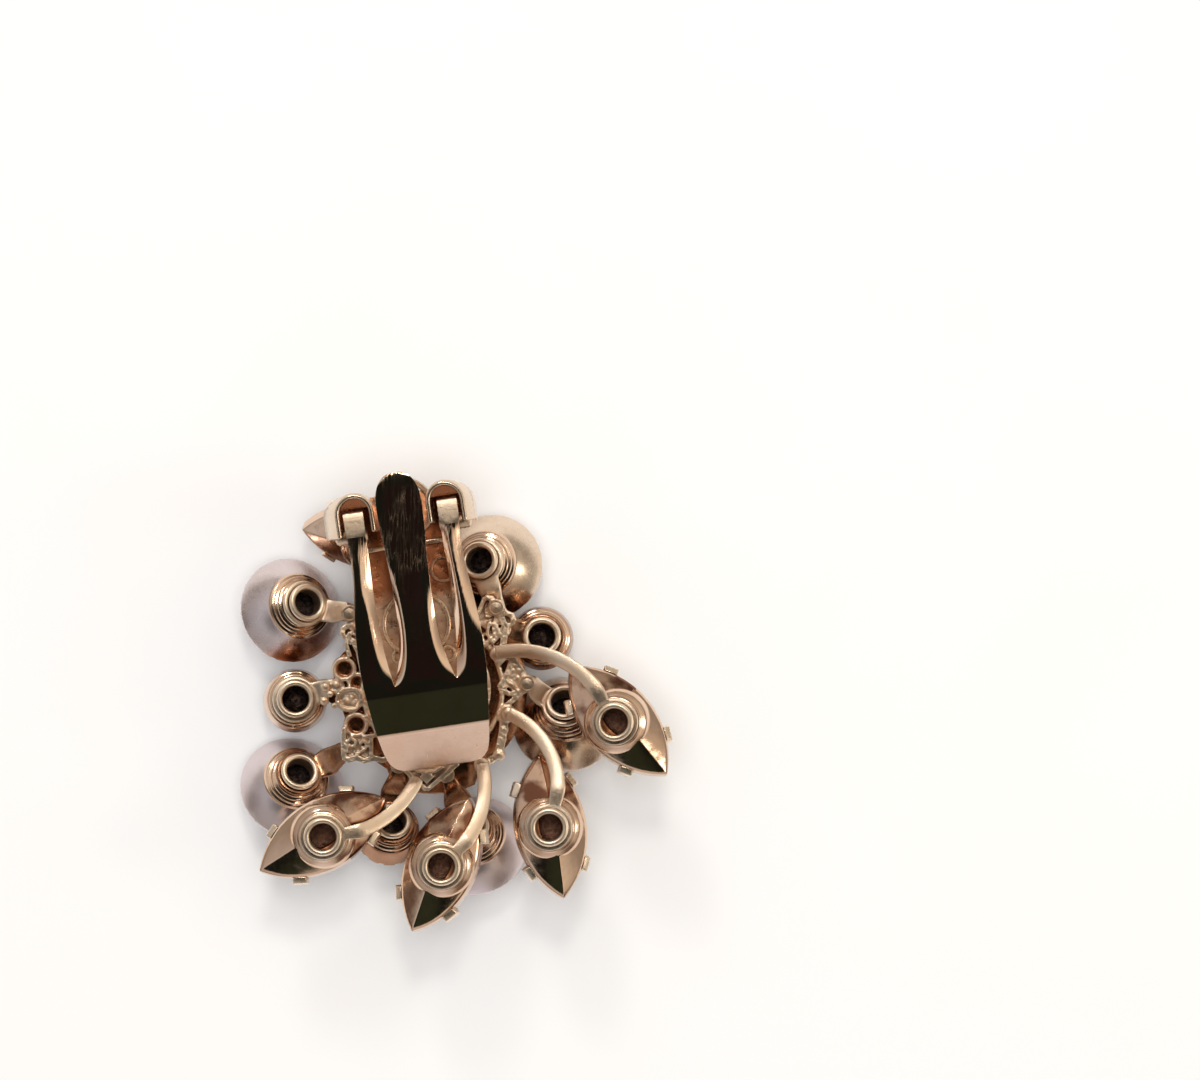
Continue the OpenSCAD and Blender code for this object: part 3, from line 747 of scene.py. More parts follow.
# Round cups: a stepped boss, a flared side and a rim cut into teeth
largeSizes = {
    "profile": [
        (1.25, -0.98), (1.70, -1.0), (1.76, -1.04), (1.80, -1.12), (1.90, -1.16), (1.96, -1.18),
        (2.0, -1.22), (2.03, -1.32), (2.13, -1.36), (2.18, -1.38), (2.22, -1.44), (2.25, -1.54),
        (2.35, -1.58), (2.40, -1.61), (2.44, -1.68), (2.47, -1.78), (2.54, -1.86), (2.64, -1.96),
        (2.84, -2.16), (3.10, -2.45), (3.36, -2.79), (3.58, -3.11), (3.78, -3.43), (3.92, -3.68),
        (4.0, -3.86)
    ],
    "bossRadius": 2.56,
    "teeth": 20,
    "segments": 120,
    "toothDrop": 0.42,
    "toothShare": 0.66,
    "turn": 7,
    "wall": 0.26,
}
smallSizes = {
    "profile": [
        (1.25, -0.98), (1.70, -1.0), (1.77, -1.05), (1.80, -1.14), (1.92, -1.18), (1.98, -1.24),
        (2.02, -1.36), (2.14, -1.42), (2.20, -1.52), (2.27, -1.9), (2.35, -2.4), (2.42, -2.92),
        (2.44, -3.02)
    ],
    "bossRadius": 2.16,
    "teeth": 12,
    "segments": 72,
    "toothDrop": 0.36,
    "toothShare": 0.66,
    "turn": 11,
    "wall": 0.24,
}
centreSizes = {
    "profile": [
        (1.25, -2.06), (2.35, -2.06), (2.6, -2.45), (4.2, -2.9), (5.45, -3.65), (6.0, -4.6),
        (6.08, -5.05)
    ],
    # the shade sheet's lower part is drawn out: between these angles, from this radius, by this much
    "drawnAngles": (-118, -62),
    "drawnFrom": 6.5,
    "drawnOut": 0.95,
    "shadeSheet": [
        (1.6, -2.7), (1.6, -2.5), (5.6, -2.52), (6.9, -2.72), (7.1, -2.9), (6.9, -2.86), (5.6, -2.7),
        (1.6, -2.7)
    ],
    "teeth": 28,
    "segments": 168,
    "toothDrop": 0.45,
    "toothShare": 0.66,
    "wall": 0.28,
}


def makeRoundCup(name, s):
    cup = turned(name, s["profile"], s["segments"])
    step = 360 / s["teeth"]
    low = s["profile"][-1][1]

    def inTooth(mid, edge):
        atRim = len(edge.link_faces) == 1 and abs(mid.z - low) < 0.001
        return atRim and math.degrees(math.atan2(mid.y, mid.x)) % step < step * s["toothShare"]

    startEdit(cup, "EDGE")
    chooseEdges(cup, inTooth)
    pull((0, 0, -s["toothDrop"] * 0.6), (0.995, 0.995, 1), (0, 0, low))
    pull((0, 0, -s["toothDrop"] * 0.4), (0.955, 0.955, 1), (0, 0, low - s["toothDrop"]))
    faceOutwards()
    endEdit()
    addModifier(cup, "SOLIDIFY", thickness=s["wall"], offset=-1, use_even_offset=True)
    return cup


# painted reflection: each large cup's side is dressed in the tone of what it mirrors, lavender from the
# pale floor, beige, or copper from its neighbours
largeSides = (paintedReflectionCupGold, beigeCupGold, paleCupGold, beigeCupGold, paleCupGold)
largeCup = makeRoundCup("largeCupModel", largeSizes)
smoothShade(largeCup, 28)
for i in range(5):
    twin = copyOf(largeCup, f"largeCup{i + 1}")
    dress(twin, cupGold)
    paintFaces(twin, largeSides[i], lambda mid, normal: mid.xy.length > largeSizes["bossRadius"])
    place = largePlace(i) @ turnZ(largeSizes["turn"] * i)
    putInPlace(twin, place, fixedBody, [f"large_cup_{i + 1}"])
bpy.data.objects.remove(largeCup)
smallCup = makeRoundCup("smallCupModel", smallSizes)
smoothShade(smallCup, 28)
for i in range(3):
    twin = copyOf(smallCup, f"smallCup{i + 1}")
    dress(twin, cupGold)
    if i != 1:  # the walls of these two lie in shade
        paintFaces(twin, dimGold, lambda mid, normal: mid.xy.length > smallSizes["bossRadius"])
    place = smallPlace(i) @ turnZ(smallSizes["turn"] * i)
    putInPlace(twin, place, fixedBody, [f"small_cup_{i + 1}"])
bpy.data.objects.remove(smallCup)
centreCup = makeRoundCup("centreCup", centreSizes)
smoothShade(centreCup, 28)


def inLowerPart(co):
    low, high = centreSizes["drawnAngles"]
    return co.xy.length > centreSizes["drawnFrom"] and low < math.degrees(math.atan2(co.y, co.x)) < high


# painted shade: a thin dark sheet under the filigree, dressed dim, closes the view down to the cup's
# side so the gaps show shade
shadeSheet = turned("shadeSheet", centreSizes["shadeSheet"], 96, closed=True)
startEdit(shadeSheet, "VERT")
chooseVerts(shadeSheet, inLowerPart)
bpy.ops.transform.translate(value=(0, -centreSizes["drawnOut"], 0))
endEdit()
smoothShade(shadeSheet, 50)
centreCup = joinPieces([centreCup, shadeSheet], "centreCup")
# the centre cup, seen only through the gaps, is painted dim as shade
putInPlace(centreCup, centrePlace, fixedBody, ["centre_cup"], dimGold)
print("round cups ready")


# Stones: foil on the back, glass on the front
largeStoneSizes = {
    "girdle": 3.58,
    "domeRadius": 4.045,
    "domeHeight": 2.2,
    "girdleDepth": 3.8,
    "backDepth": 2.4,
    "segments": 96,
}
centreStoneSizes = {
    "girdle": 5.62,
    "domeRadius": 8.09,
    "domeHeight": 2.3,
    "girdleDepth": 5.15,
    "backDepth": 3.75,
    "segments": 128,
}
navetteStoneSizes = {
    "length": 10.0,
    "width": 4.7,
    # share of the full outline, depth
    "stations": [(0.30, 2.0), (0.62, 2.35), (1.0, 3.09), (1.0, 3.21), (0.86, 3.4), (0.6, 3.9)],
    "girdle": 3.15,
}
smallStoneSizes = {
    "profile": [(0.3, -1.7), (2.0, -2.85), (2.03, -2.95), (2.0, -3.05), (1.68, -3.42), (1.3, -3.85)],
    "sides": 16,
    "starDepth": 3.42,
}


def makeDomedStone(name, girdle, domeRadius, domeHeight, girdleDepth, backDepth, segments):
    backRadius = girdle - (girdleDepth - backDepth) * 0.95
    profile = [
        (0.02, -backDepth), (backRadius * 0.6, -backDepth), (backRadius, -backDepth),
        (girdle, -girdleDepth)
    ]
    middle = -girdleDepth - domeHeight + domeRadius
    start = math.degrees(math.asin(min(1.0, girdle / domeRadius)))
    for k in range(1, 15):
        a = math.radians(start * (1 - k / 14.0))
        profile.append((max(0.02, domeRadius * math.sin(a)), middle - domeRadius * math.cos(a)))
    stone = turned(name, profile, segments)
    startEdit(stone, "EDGE")
    closeRims(stone)
    endEdit()
    tidyNormals(stone)
    return stone


def foilBack(stone, glass, foil):
    dress(stone, glass)
    stone.data.materials.append(foil)
    for f in stone.data.polygons:
        f.material_index = 1 if f.normal.z > 0.25 else 0


largeStone = makeDomedStone("largeStoneModel", **largeStoneSizes)
foilBack(largeStone, milky, darkFoil)
smoothShade(largeStone, 30)
for i in range(5):
    placeCopy(largeStone, "largeStone", "large_stone", i, largePlace(i))
bpy.data.objects.remove(largeStone)
centreStone = makeDomedStone("centreStone", **centreStoneSizes)
foilBack(centreStone, milky, darkFoil)
smoothShade(centreStone, 30)
putInPlace(centreStone, centrePlace, fixedBody, ["centre_stone"])


def makeNavetteStone():
    s = navetteStoneSizes
    stone = lensRing("navetteStoneModel", s["length"], s["width"], 24)
    pullRing(stone, s["stations"])
    startEdit(stone, "EDGE")
    closeRims(stone, lambda mid: mid.z < -s["girdle"])
    closeRims(stone)
    faceOutwards()
    bpy.ops.mesh.quads_convert_to_tris()
    endEdit()
    return stone


navetteStone = makeNavetteStone()
foilBack(navetteStone, smoky, brownFoil)
smoothShade(navetteStone, 3)
for i in range(5):
    place = navettePlace(i) @ rollPlace(i)
    placeCopy(navetteStone, "navetteStone", "navette_stone", i, place)
bpy.data.objects.remove(navetteStone)


def makeSmallStone():
    s = smallStoneSizes
    stone = turned("smallStoneModel", s["profile"], s["sides"])
    startEdit(stone, "EDGE")
    closeRims(stone)
    # one ring of corners is turned by half a side, which makes the facets
    chooseVerts(stone, lambda co: abs(co.z + s["starDepth"]) < 0.01)
    bpy.ops.transform.rotate(value=math.pi / s["sides"], orient_axis="Z", center_override=(0, 0, 0))
    endEdit()
    tidyNormals(stone)
    startEdit(stone)
    chooseAll()
    bpy.ops.mesh.quads_convert_to_tris()
    endEdit()
    return stone


smallStone = makeSmallStone()
foilBack(smallStone, clearGlass, darkFoil)
smoothShade(smallStone, 3)
for i in range(3):
    placeCopy(smallStone, "smallStone", "small_stone", i, smallPlace(i))
bpy.data.objects.remove(smallStone)
print("stones ready")


# Arms and strips: a washer whose side is drawn out into a strap
armSizes = {
    "washer": 1.78,
    "hole": 1.3,
    "washerDepth": 0.78,
    "washerCrown": 0.04,
    "thick": 0.46,
    "halfWidth": 0.52,
    "round": 0.12,
    "crown": 0.1,
    # distance from the eyelet where the strap begins, and where its slope ends
    "start": 2.45,
    "level": 1.95,
    # the arm's middle over the base, and the foot under its inner end
    "lift": 0.3,
    "footRadius": 0.6,
    "footHeight": 0.45,
}
stripSizes = {**armSizes, "thick": 0.4, "halfWidth": 0.66, "round": 0.15}


def strapAlong(name, sizes, points, widths, spread=2):
    heading = math.atan2(points[0].y, points[0].x)
    circle = {"vertices": 24, "radius": sizes["washer"], "fill_type": "NOTHING"}
    strap = addPiece(bpy.ops.mesh.primitive_circle_add, **circle)
    strap.name = name
    startEdit(strap)
    chooseAll()
    middle = (sizes["hole"] + sizes["washer"]) / 2
    pull((0, 0, sizes["washerCrown"]), (middle / sizes["washer"],) * 2 + (1,), (0, 0, 0))
    pull((0, 0, 0), (sizes["hole"] / middle,) * 2 + (1,), (0, 0, 0))
    bpy.ops.mesh.select_mode(type="EDGE")
    limit = 15 * spread + 1

    # a circle's first vertex lies on +Y, so the strap is drawn along +Y and turned afterwards
    def ahead(mid, edge):
        angle = abs(math.degrees(math.atan2(mid.x, mid.y)))
        return len(edge.link_faces) == 1 and mid.length > sizes["washer"] * 0.9 and angle < limit

    chooseEdges(strap, ahead)
    half = sizes["washer"] * math.sin(math.radians(15 * spread))
    back = turnZ(90 - math.degrees(heading))
    path = [back @ p for p in points]
    bpy.ops.mesh.extrude_region_move()
    bpy.ops.transform.resize(value=(widths[0] / half, 0, 1), center_override=(0, path[0].y, 0))
    bpy.ops.transform.translate(value=(0, 0, path[0].z))
    yaw = math.pi / 2
    for k in range(1, len(path)):
        step = path[k] - path[k - 1]
        along = path[min(k + 1, len(path) - 1)] - path[k - 1]
        newYaw = math.atan2(along.y, along.x)
        grow = widths[k] / widths[k - 1]
        pull(tuple(step), (grow, grow, 1), tuple(path[k]), newYaw - yaw)
        yaw = newYaw
    # the strap's middle is raised a little, as a pressed arm's is
    chooseVerts(strap, lambda co: any((co.xy - p.xy).length < 0.6 * w for p, w in zip(path, widths)))
    bpy.ops.transform.translate(value=(0, 0, sizes["crown"]))
    faceOutwards()
    endEdit()
    setPlace(strap, turnZ(math.degrees(heading) - 90))
    addModifier(strap, "SOLIDIFY", thickness=sizes["thick"], offset=0, use_even_offset=False)
    roundEdges(strap, sizes["round"], 2, 50)
    addModifier(strap, "SUBSURF", levels=2, render_levels=2)
    return strap


def washerPlace(place):
    return place @ shift(0, 0, -armSizes["washerDepth"])


def armPath(i):
    s = armSizes
    x, y, z = layout["navettes"][i][:3]
    rootX, rootY, bulge = layout["armRoots"][i]
    run = math.hypot(x - rootX, y - rootY)
    rise = (z - s["washerDepth"] - layout["baseTop"] - s["lift"]) * run / (run - s["level"])
    chord = math.hypot(run, rise)
    r = ((chord / 2) ** 2 + bulge ** 2) / (2 * bulge)
    half = math.asin(chord / 2 / r)
    heading = math.degrees(math.atan2(y - rootY, x - rootX))
    slope = math.degrees(math.atan2(rise, run))
    toWorld = flatPlace(rootX, rootY, layout["baseTop"], heading) @ turnY(-slope)
    toLocal = washerPlace(navettePlace(i)).inverted()
    out = []
    for k in range(15):
        t = (1 - s["start"] / run) * (1 - k / 14)
        a = math.pi / 2 + half - 2 * half * t
        p = Vector((chord / 2 + r * math.cos(a), bulge - r + r * math.sin(a), s["lift"]))
        out.append(toLocal @ (toWorld @ p))
    return out


def makeFoot(radius, height):
    edge = 0.12
    profile = [
        (0.05, height), (radius - edge, height), (radius, height - edge), (radius, 0.0), (0.05, 0.0)
    ]
    foot = turned("armFoot", profile, 40)
    tidyNormals(foot)
    smoothShade(foot, 50)
    return foot


for i in range(4):
    points = armPath(i)
    widths = [0.60, 0.54] + [armSizes["halfWidth"]] * (len(points) - 4) + [0.50, 0.46]
    arm = strapAlong(f"navetteArm{i + 1}", armSizes, points, widths, 1)
    smoothShade(arm, 60)
    foot = makeFoot(armSizes["footRadius"], armSizes["footHeight"])
    rootX, rootY = layout["armRoots"][i][:2]
    place = washerPlace(navettePlace(i))
    setPlace(foot, place.inverted() @ flatPlace(rootX, rootY, layout["baseTop"]))
    arm = joinPieces([arm, foot], f"navetteArm{i + 1}")
    putInPlace(arm, place, fixedBody, [f"navette_arm_{i + 1}"], armGold)
print("long arms ready")


def makeStrip(name, place, rootX, rootY, node, material, wide=1.0):
    place = washerPlace(place)
    end = place.inverted() @ flatPlace(rootX, rootY, layout["baseUnder"] - 0.25).translation
    flat = Vector((end.x, end.y, 0))
    run = flat.length
    ahead = flat / run
    points = []
    for d in (2.35, 2.75, 3.1, (run + 2.6) / 2, run - 0.5, run + 0.2, run + 0.62):
        if points and d < points[-1].length + 0.12:
            continue
        t = min(1.0, max(0.0, (d - 2.2) / max(0.4, run - 2.7)))
        points.append(ahead * d + Vector((0, 0, end.z * t)))
    even = [stripSizes["halfWidth"] * wide] * (len(points) - 4)
    widths = [0.9 * wide, 0.76 * wide, *even, 0.7, 0.45]
    strip = strapAlong(name, stripSizes, points, widths)
    smoothShade(strip, 60)
    putInPlace(strip, place, fixedBody, [node], material)


# the strips that run under the others are wider, and painted darker as shade
for i in range(5):
    look = (stripGold, 1.0) if i in (0, 1, 3) else (dimGold, 1.3)
    root = layout["largeRounds"][i][4:6]
    makeStrip(f"largeStrip{i + 1}", largePlace(i), *root, f"large_strip_{i + 1}", *look)
for i in range(3):
    look = (stripGold, 1.0) if i == 1 else (dimGold, 1.25)
    root = layout["smallRounds"][i][4:6]
    makeStrip(f"smallStrip{i + 1}", smallPlace(i), *root, f"small_strip_{i + 1}", *look)
# this arm too is painted dim, as shade
makeStrip("navetteArm5", navettePlace(4), *layout["armRoots"][4][:2], "navette_arm_5", dimGold)
print("strips ready")


# Paddle: one sheet pulled up row by row from the lip, which forks into two arms and a spring tongue
paddleSizes = {
    "thick": 0.55,
    "round": 0.07,
    "pin": [
        (0.05, -1.15), (0.45, -1.15), (0.6, -1.0), (0.6, 1.0), (0.5, 1.16), (0.3, 1.24), (0.05, 1.26)
    ],
    "pinX": 3.85,
    "tabFrom": -0.12,
    "lipFrom": -15.16,
    # distance from the hinge, half width, height over the hinge
    "lipRows": [
        (-17.98, 2.3, -2.62), (-17.9, 2.95, -2.54), (-17.6, 3.5, -2.27), (-17.0, 3.84, -1.73),
        (-16.2, 4.02, -1.0), (-15.25, 4.16, -0.14), (-15.08, 4.2, 0.01), (-14.92, 4.22, 0.10),
        (-13.6, 4.38, 0.50), (-12.36, 4.51, 0.88), (-12.28, 4.515, 0.905), (-12.22, 4.52, 0.934),
        (-12.1, 4.53, 0.95), (-11.5, 4.60, 1.01)
    ],
    # distance, inner edge, outer edge, height, drop of the inner edge, drop of the outer edge
    "armRows": [
        (-11.2, 2.36, 4.62, 1.06, 0.12, 0.02), (-10.4, 2.5, 4.66, 1.11, 0.24, 0.05),
        (-9.2, 2.66, 4.68, 1.16, 0.38, 0.12), (-7.6, 2.78, 4.64, 1.22, 0.48, 0.30),
        (-6.0, 2.84, 4.5, 1.27, 0.52, 0.44), (-4.4, 2.86, 4.33, 1.29, 0.50, 0.50),
        (-3.2, 2.84, 4.20, 1.28, 0.46, 0.50), (-2.2, 2.8, 4.14, 1.25, 0.42, 0.46),
        (-1.2, 2.78, 4.14, 1.2, 0.34, 0.40), (-0.4, 2.8, 4.16, 1.12, 0.2, 0.26),
        (-0.1, 2.80, 4.2, 1.1, 0.06, 0.08), (0.1, 2.78, 4.24, 1.09, 0, 0),
        (1.0, 2.76, 4.26, 1.02, 0, 0), (1.6, 2.76, 4.26, 0.95, 0, 0), (1.8, 2.76, 4.26, 0.78, 0, 0),
        (1.84, 2.76, 4.26, 0.3, 0, 0)
    ],
    # distance, half width, height, drop of the edges
    "tongueRows": [
        (-11.2, 2.2, 1.05, 0.10), (-10.3, 1.92, 1.08, 0.30), (-9.2, 1.66, 1.1, 0.42),
        (-8.0, 1.50, 1.08, 0.42), (-6.8, 1.42, 1.04, 0.34), (-5.4, 1.40, 1.02, 0.20),
        (-3.6, 1.42, 1.06, 0.08), (-1.8, 1.52, 1.16, 0.04), (0.0, 1.64, 1.28, 0.03),
        (1.4, 1.72, 1.36, 0.03), (2.3, 1.70, 1.40, 0.03), (3.0, 1.58, 1.41, 0.03),
        (3.5, 1.36, 1.41, 0.03), (3.9, 1.04, 1.39, 0.03), (4.12, 0.72, 1.36, 0.03),
        (4.22, 0.36, 1.33, 0.03)
    ],
}


def makePaddle():
    s = paddleSizes
    sheet = addPiece(bpy.ops.mesh.primitive_grid_add, x_subdivisions=24, y_subdivisions=1, size=2)
    sheet.name = "clipPaddle"
    startEdit(sheet)
    for side, row in ((-1, s["lipRows"][0]), (1, s["lipRows"][1])):
        chooseVerts(sheet, lambda co: co.y * side > 0.5 and abs(co.z) < 0.001)
        bpy.ops.transform.resize(value=(row[1], 1, 1), center_override=(0, 0, 0))
        bpy.ops.transform.translate(value=(0, row[0] - side, row[2]))
    bpy.ops.mesh.select_mode(type="EDGE")

    def chooseRow(rowY, low, high):
        def inRow(mid, edge):
            level = abs(edge.verts[0].co.y - edge.verts[1].co.y) < 0.001
            return level and abs(mid.y - rowY) < 0.001 and low < mid.x < high

        chooseEdges(sheet, inRow)

    # rows of the whole width
    y, half, z = s["lipRows"][1]
    chooseRow(y, -9, 9)
    for nextY, nextHalf, nextZ in s["lipRows"][2:]:
        pull((0, nextY - y, nextZ - z), (nextHalf / half, 1, 1), (0, 0, 0))
        y, half, z = nextY, nextHalf, nextZ
    forkY, forkHalf, forkZ = y, half, z
    # two arms
    for side in (-1, 1):
        low, high = sorted((side * forkHalf / 2, side * 9))
        chooseRow(forkY, low, high)
        y, z, middle, width = forkY, forkZ, forkHalf * 0.75, forkHalf / 2
        for nextY, inner, outer, nextZ, _, _ in s["armRows"]:
            nextMiddle, nextWidth = (inner + outer) / 2, outer - inner
            move = (side * (nextMiddle - middle), nextY - y, nextZ - z)
            pull(move, (nextWidth / width, 1, 1), (side * nextMiddle, 0, 0))
            y, z, middle, width = nextY, nextZ, nextMiddle, nextWidth
    # spring tongue
    chooseRow(forkY, -forkHalf / 2, forkHalf / 2)
    y, z, half = forkY, forkZ, forkHalf / 2
    for nextY, nextHalf, nextZ, _ in s["tongueRows"]:
        pull((0, nextY - y, nextZ - z), (nextHalf / half, 1, 1), (0, 0, 0))
        y, z, half = nextY, nextZ, nextHalf
    bpy.ops.mesh.select_mode(type="VERT")

    # the sheet's long edges are rolled down: the arms are crowned and the slots' sides are pressed in
    def dropEdges(rows, column, across, shares):
        for row in rows:
            for place, share in shares:
                at = lambda co: abs(co.y - row[0]) < 0.001 and abs(across(co.x, row) - place) < 0.01
                chooseVerts(sheet, at)
                bpy.ops.transform.translate(value=(0, 0, -share * row[column]))

    # the right arm is the rounder one, and edges that face left are the steeper ones
    for side, inner, outer in ((-1, 1.0, 0.4), (1, 1.8, 1.0)):
        arm = lambda x, row: (side * x - row[1]) / (row[2] - row[1])
        upper = [row for row in s["armRows"] if row[0] > -5]
        lower = [row for row in s["armRows"] if row[0] < -5]
        slope = ((0, inner), (1 / 6, 0.44 * inner), (2 / 6, 0.08))
        if side < 0:
            slope = ((0, 1.25), (1 / 6, 0.95), (2 / 6, 0.66), (3 / 6, 0.36), (4 / 6, 0.1))
        dropEdges(upper, 4, arm, slope)
        dropEdges(lower, 4, arm, ((0, inner), (1 / 6, 0.5 * inner), (2 / 6, 0.1)))
        slope = ((1, outer), (5 / 6, 0.62 * outer), (4 / 6, 0.32 * outer), (3 / 6, 0.1 * outer))
        dropEdges(s["armRows"], 5, arm, slope)
    slope = ((1, 1.0), (5 / 6, 0.5), (4 / 6, 0.13), (-1, 2.0), (-5 / 6, 0.55), (-4 / 6, 0.05))
    dropEdges(s["tongueRows"], 3, lambda x, row: x / row[1], slope)
    faceOutwards()
    endEdit()
    faceUp(sheet)
    addModifier(sheet, "SOLIDIFY", thickness=s["thick"], offset=-1, use_even_offset=False)
    roundEdges(sheet, s["round"], 2, 60)
    addModifier(sheet, "SUBSURF", levels=2, render_levels=2)
    smoothShade(sheet, 40)
    dress(sheet, paddleGold)
    # the tabs over the hinge and the lip are satin
    paintFaces(sheet, armGold, lambda mid, normal: mid.y > s["tabFrom"] and abs(mid.x) > 2.5)
    paintFaces(sheet, lipGold, lambda mid, normal: mid.y < s["lipFrom"])
    return sheet


def makePins():
    pins = []
    for side in (-1, 1):
        pin = turned("hingePin", paddleSizes["pin"], 40)
        setPlace(pin, shift(side * paddleSizes["pinX"], 0, 0) @ turnY(side * 90))
        tidyNormals(pin)
        smoothShade(pin, 50)
        dress(pin, armGold)
        pins.append(pin)
    return pins


paddle = joinPieces([makePaddle()] + makePins(), "clipPaddle")
putInPlace(paddle, clipPlace @ shift(0, 0, layout["hinge"][2]), movingBody, ["clip_paddle"])
print("paddle ready")


# A ring of wire that stands a little higher than it is wide
def addLoop(x, y, radius, wire, z):
    ring = {"major_radius": radius, "minor_radius": wire, "major_segments": 32, "minor_segments": 10}
    loop = addPiece(bpy.ops.mesh.primitive_torus_add, location=(x, y, z), **ring)
    startEdit(loop)
    chooseAll()
    bpy.ops.transform.resize(value=(1, 1, 1.45))
    endEdit()
    applyPlace(loop)
    return loop


# Clip base: a plate with a rounded end and two hooded lugs, each one strip of sheet led round a bend
clipBaseSizes = {
    "plate": 0.7,
    "halfWidth": 3.6,
    "end": -14.6,
    "plateY": 2.75,
    "lugX": 3.35,
    "lugRadius": 1.225,
    "bendY": 1.6,
    "outerLeg": -0.1,
    "innerLeg": 0.1,
    "top": 13.2,
    "wall": 0.36,
    # step down the wall, growth of its outline
    "flare": [(0.2, 1.14), (1.5, 1.0), (4.85, 1.0)],
    "spread": {-1: 1.62, 1: 1.36},
    # middle and size of a box
    "hoodFloor": ((3.6, 1.15, 7.05), (2.7, 2.5, 0.3)),
    "bar": ((0, -1.2, 7.4), (6.6, 0.34, 0.3)),
    # rings on the plate: x, y, radius, wire
    "marks": [
        (-0.3, -7.2, 2.45, 0.16), (2.3, -3.4, 0.9, 0.12), (-1.9, -9.4, 0.5, 0.14),
        (1.7, -9.8, 0.55, 0.14)
    ],
    "arch": [(1.9, 0.0), (1.9, 0.9), (2.0, 1.0), (2.25, 1.0), (2.35, 0.9), (2.35, 0.0), (1.9, 0.0)],
}


def makeLug(side):
    s = clipBaseSizes
    outer, inner = s["lugX"] + s["lugRadius"], s["lugX"] - s["lugRadius"]
    path = [(outer, s["outerLeg"]), (outer, 0.2)]
    path += arcStations((s["lugX"], s["bendY"]), s["lugRadius"], 0, 180, 12)
    path += [(inner, 0.8), (inner, s["innerLeg"])]
    z = s["top"]
    wall = lineAlong(path, z)
    for drop, grow in s["flare"]:
        pull((0, 0, -drop))
        z -= drop
        # the outer side and the bend spread outwards, the side next to the tongue stays upright
        chooseVerts(wall, lambda co: abs(co.z - z) < 0.01 and co.x > s["lugX"] + 0.01)
        wide = s["spread"][side] if grow == 1.0 and z > 8 else grow
        bpy.ops.transform.resize(value=(wide, 1, 1), center_override=(s["lugX"], 0, 0))
        chooseVerts(wall, lambda co: abs(co.z - z) < 0.01 and co.y > s["bendY"] + 0.01)
        bpy.ops.transform.resize(value=(1, grow, 1), center_override=(0, s["bendY"], 0))
        chooseVerts(wall, lambda co: abs(co.z - z) < 0.01)
    endEdit()
    addModifier(wall, "SOLIDIFY", thickness=s["wall"], offset=0)
    roundEdges(wall, 0.16, 4, 50)
    smoothShade(wall, 40)
    dress(wall, beigeCupGold)
    # the hood's shaded back wall
    circle = {"vertices": 48, "radius": s["lugRadius"] - 0.1, "fill_type": "NGON"}
    back = addPiece(bpy.ops.mesh.primitive_circle_add, **circle)
    startEdit(back)
    chooseAll()
    bpy.ops.mesh.bisect(plane_co=(0, 0.4, 0), plane_no=(0, 1, 0), clear_inner=True)
    chooseAll()
    bpy.ops.transform.resize(value=(1, 1.15, 1), center_override=(0, 1.2, 0))
    pull((0, 0, -0.2))
    faceOutwards()
    bpy.ops.transform.rotate(value=math.radians(-32), orient_axis="X", center_override=(0, 1.2, 0))
    endEdit()
    back.location = (s["lugX"], s["bendY"], s["top"] - 0.12)
    applyPlace(back)
    dress(back, copperGold)
    # and its floor
    hoodFloor = addBox(*s["hoodFloor"], 0.06, 2)
    dress(hoodFloor, copperGold)
    lug = joinPieces([wall, back, hoodFloor], "lug")
    if side < 0:
        setPlace(lug, Matrix.Scale(-1, 4, (1, 0, 0)))
    startEdit(lug)
    faceOutwards()
    endEdit()
    return lug


def makePlate():
    s = clipBaseSizes
    middleY = s["end"] + s["halfWidth"]
    top = layout["baseTop"] + s["plate"]
    disc = {"vertices": 64, "radius": s["halfWidth"], "depth": s["plate"]}
    middle = (0, middleY, top - s["plate"] / 2)
    plate = addPiece(bpy.ops.mesh.primitive_cylinder_add, location=middle, **disc)
    applyPlace(plate)
    startEdit(plate, "FACE")
    # the half towards the hinge is drawn out to the lugs
    chooseFaces(plate, lambda mid, normal: abs(normal.z) < 0.5 and mid.y > middleY + 0.05)
    pull((0, s["plateY"] - middleY, 0), (1, 0, 1), (0, s["plateY"], 0))
    endEdit()
    tidyNormals(plate, 0.002)
    roundEdges(plate, 0.12, 2, 50)
    dress(plate, plateGold)
    arch = turned("middleArch", s["arch"], 64, closed=True)
    setPlace(arch, shift(0, s["bendY"], layout["baseTop"]))
    marks = [addLoop(*mark, top) for mark in s["marks"]]
    bar = addBox(*s["bar"], 0.08, 3)
    trim = joinPieces(marks + [bar, arch], "plateTrim")
    dress(trim, softGold)
    smoothShade(trim, 40)
    plate = joinPieces([plate, trim], "clipPlate")
    smoothShade(plate, 40)
    return plate


clipBase = joinPieces([makePlate(), makeLug(-1), makeLug(1)], "clipBase")
putInPlace(clipBase, clipPlace, fixedBody, ["clip_base"])
print("clip base ready")


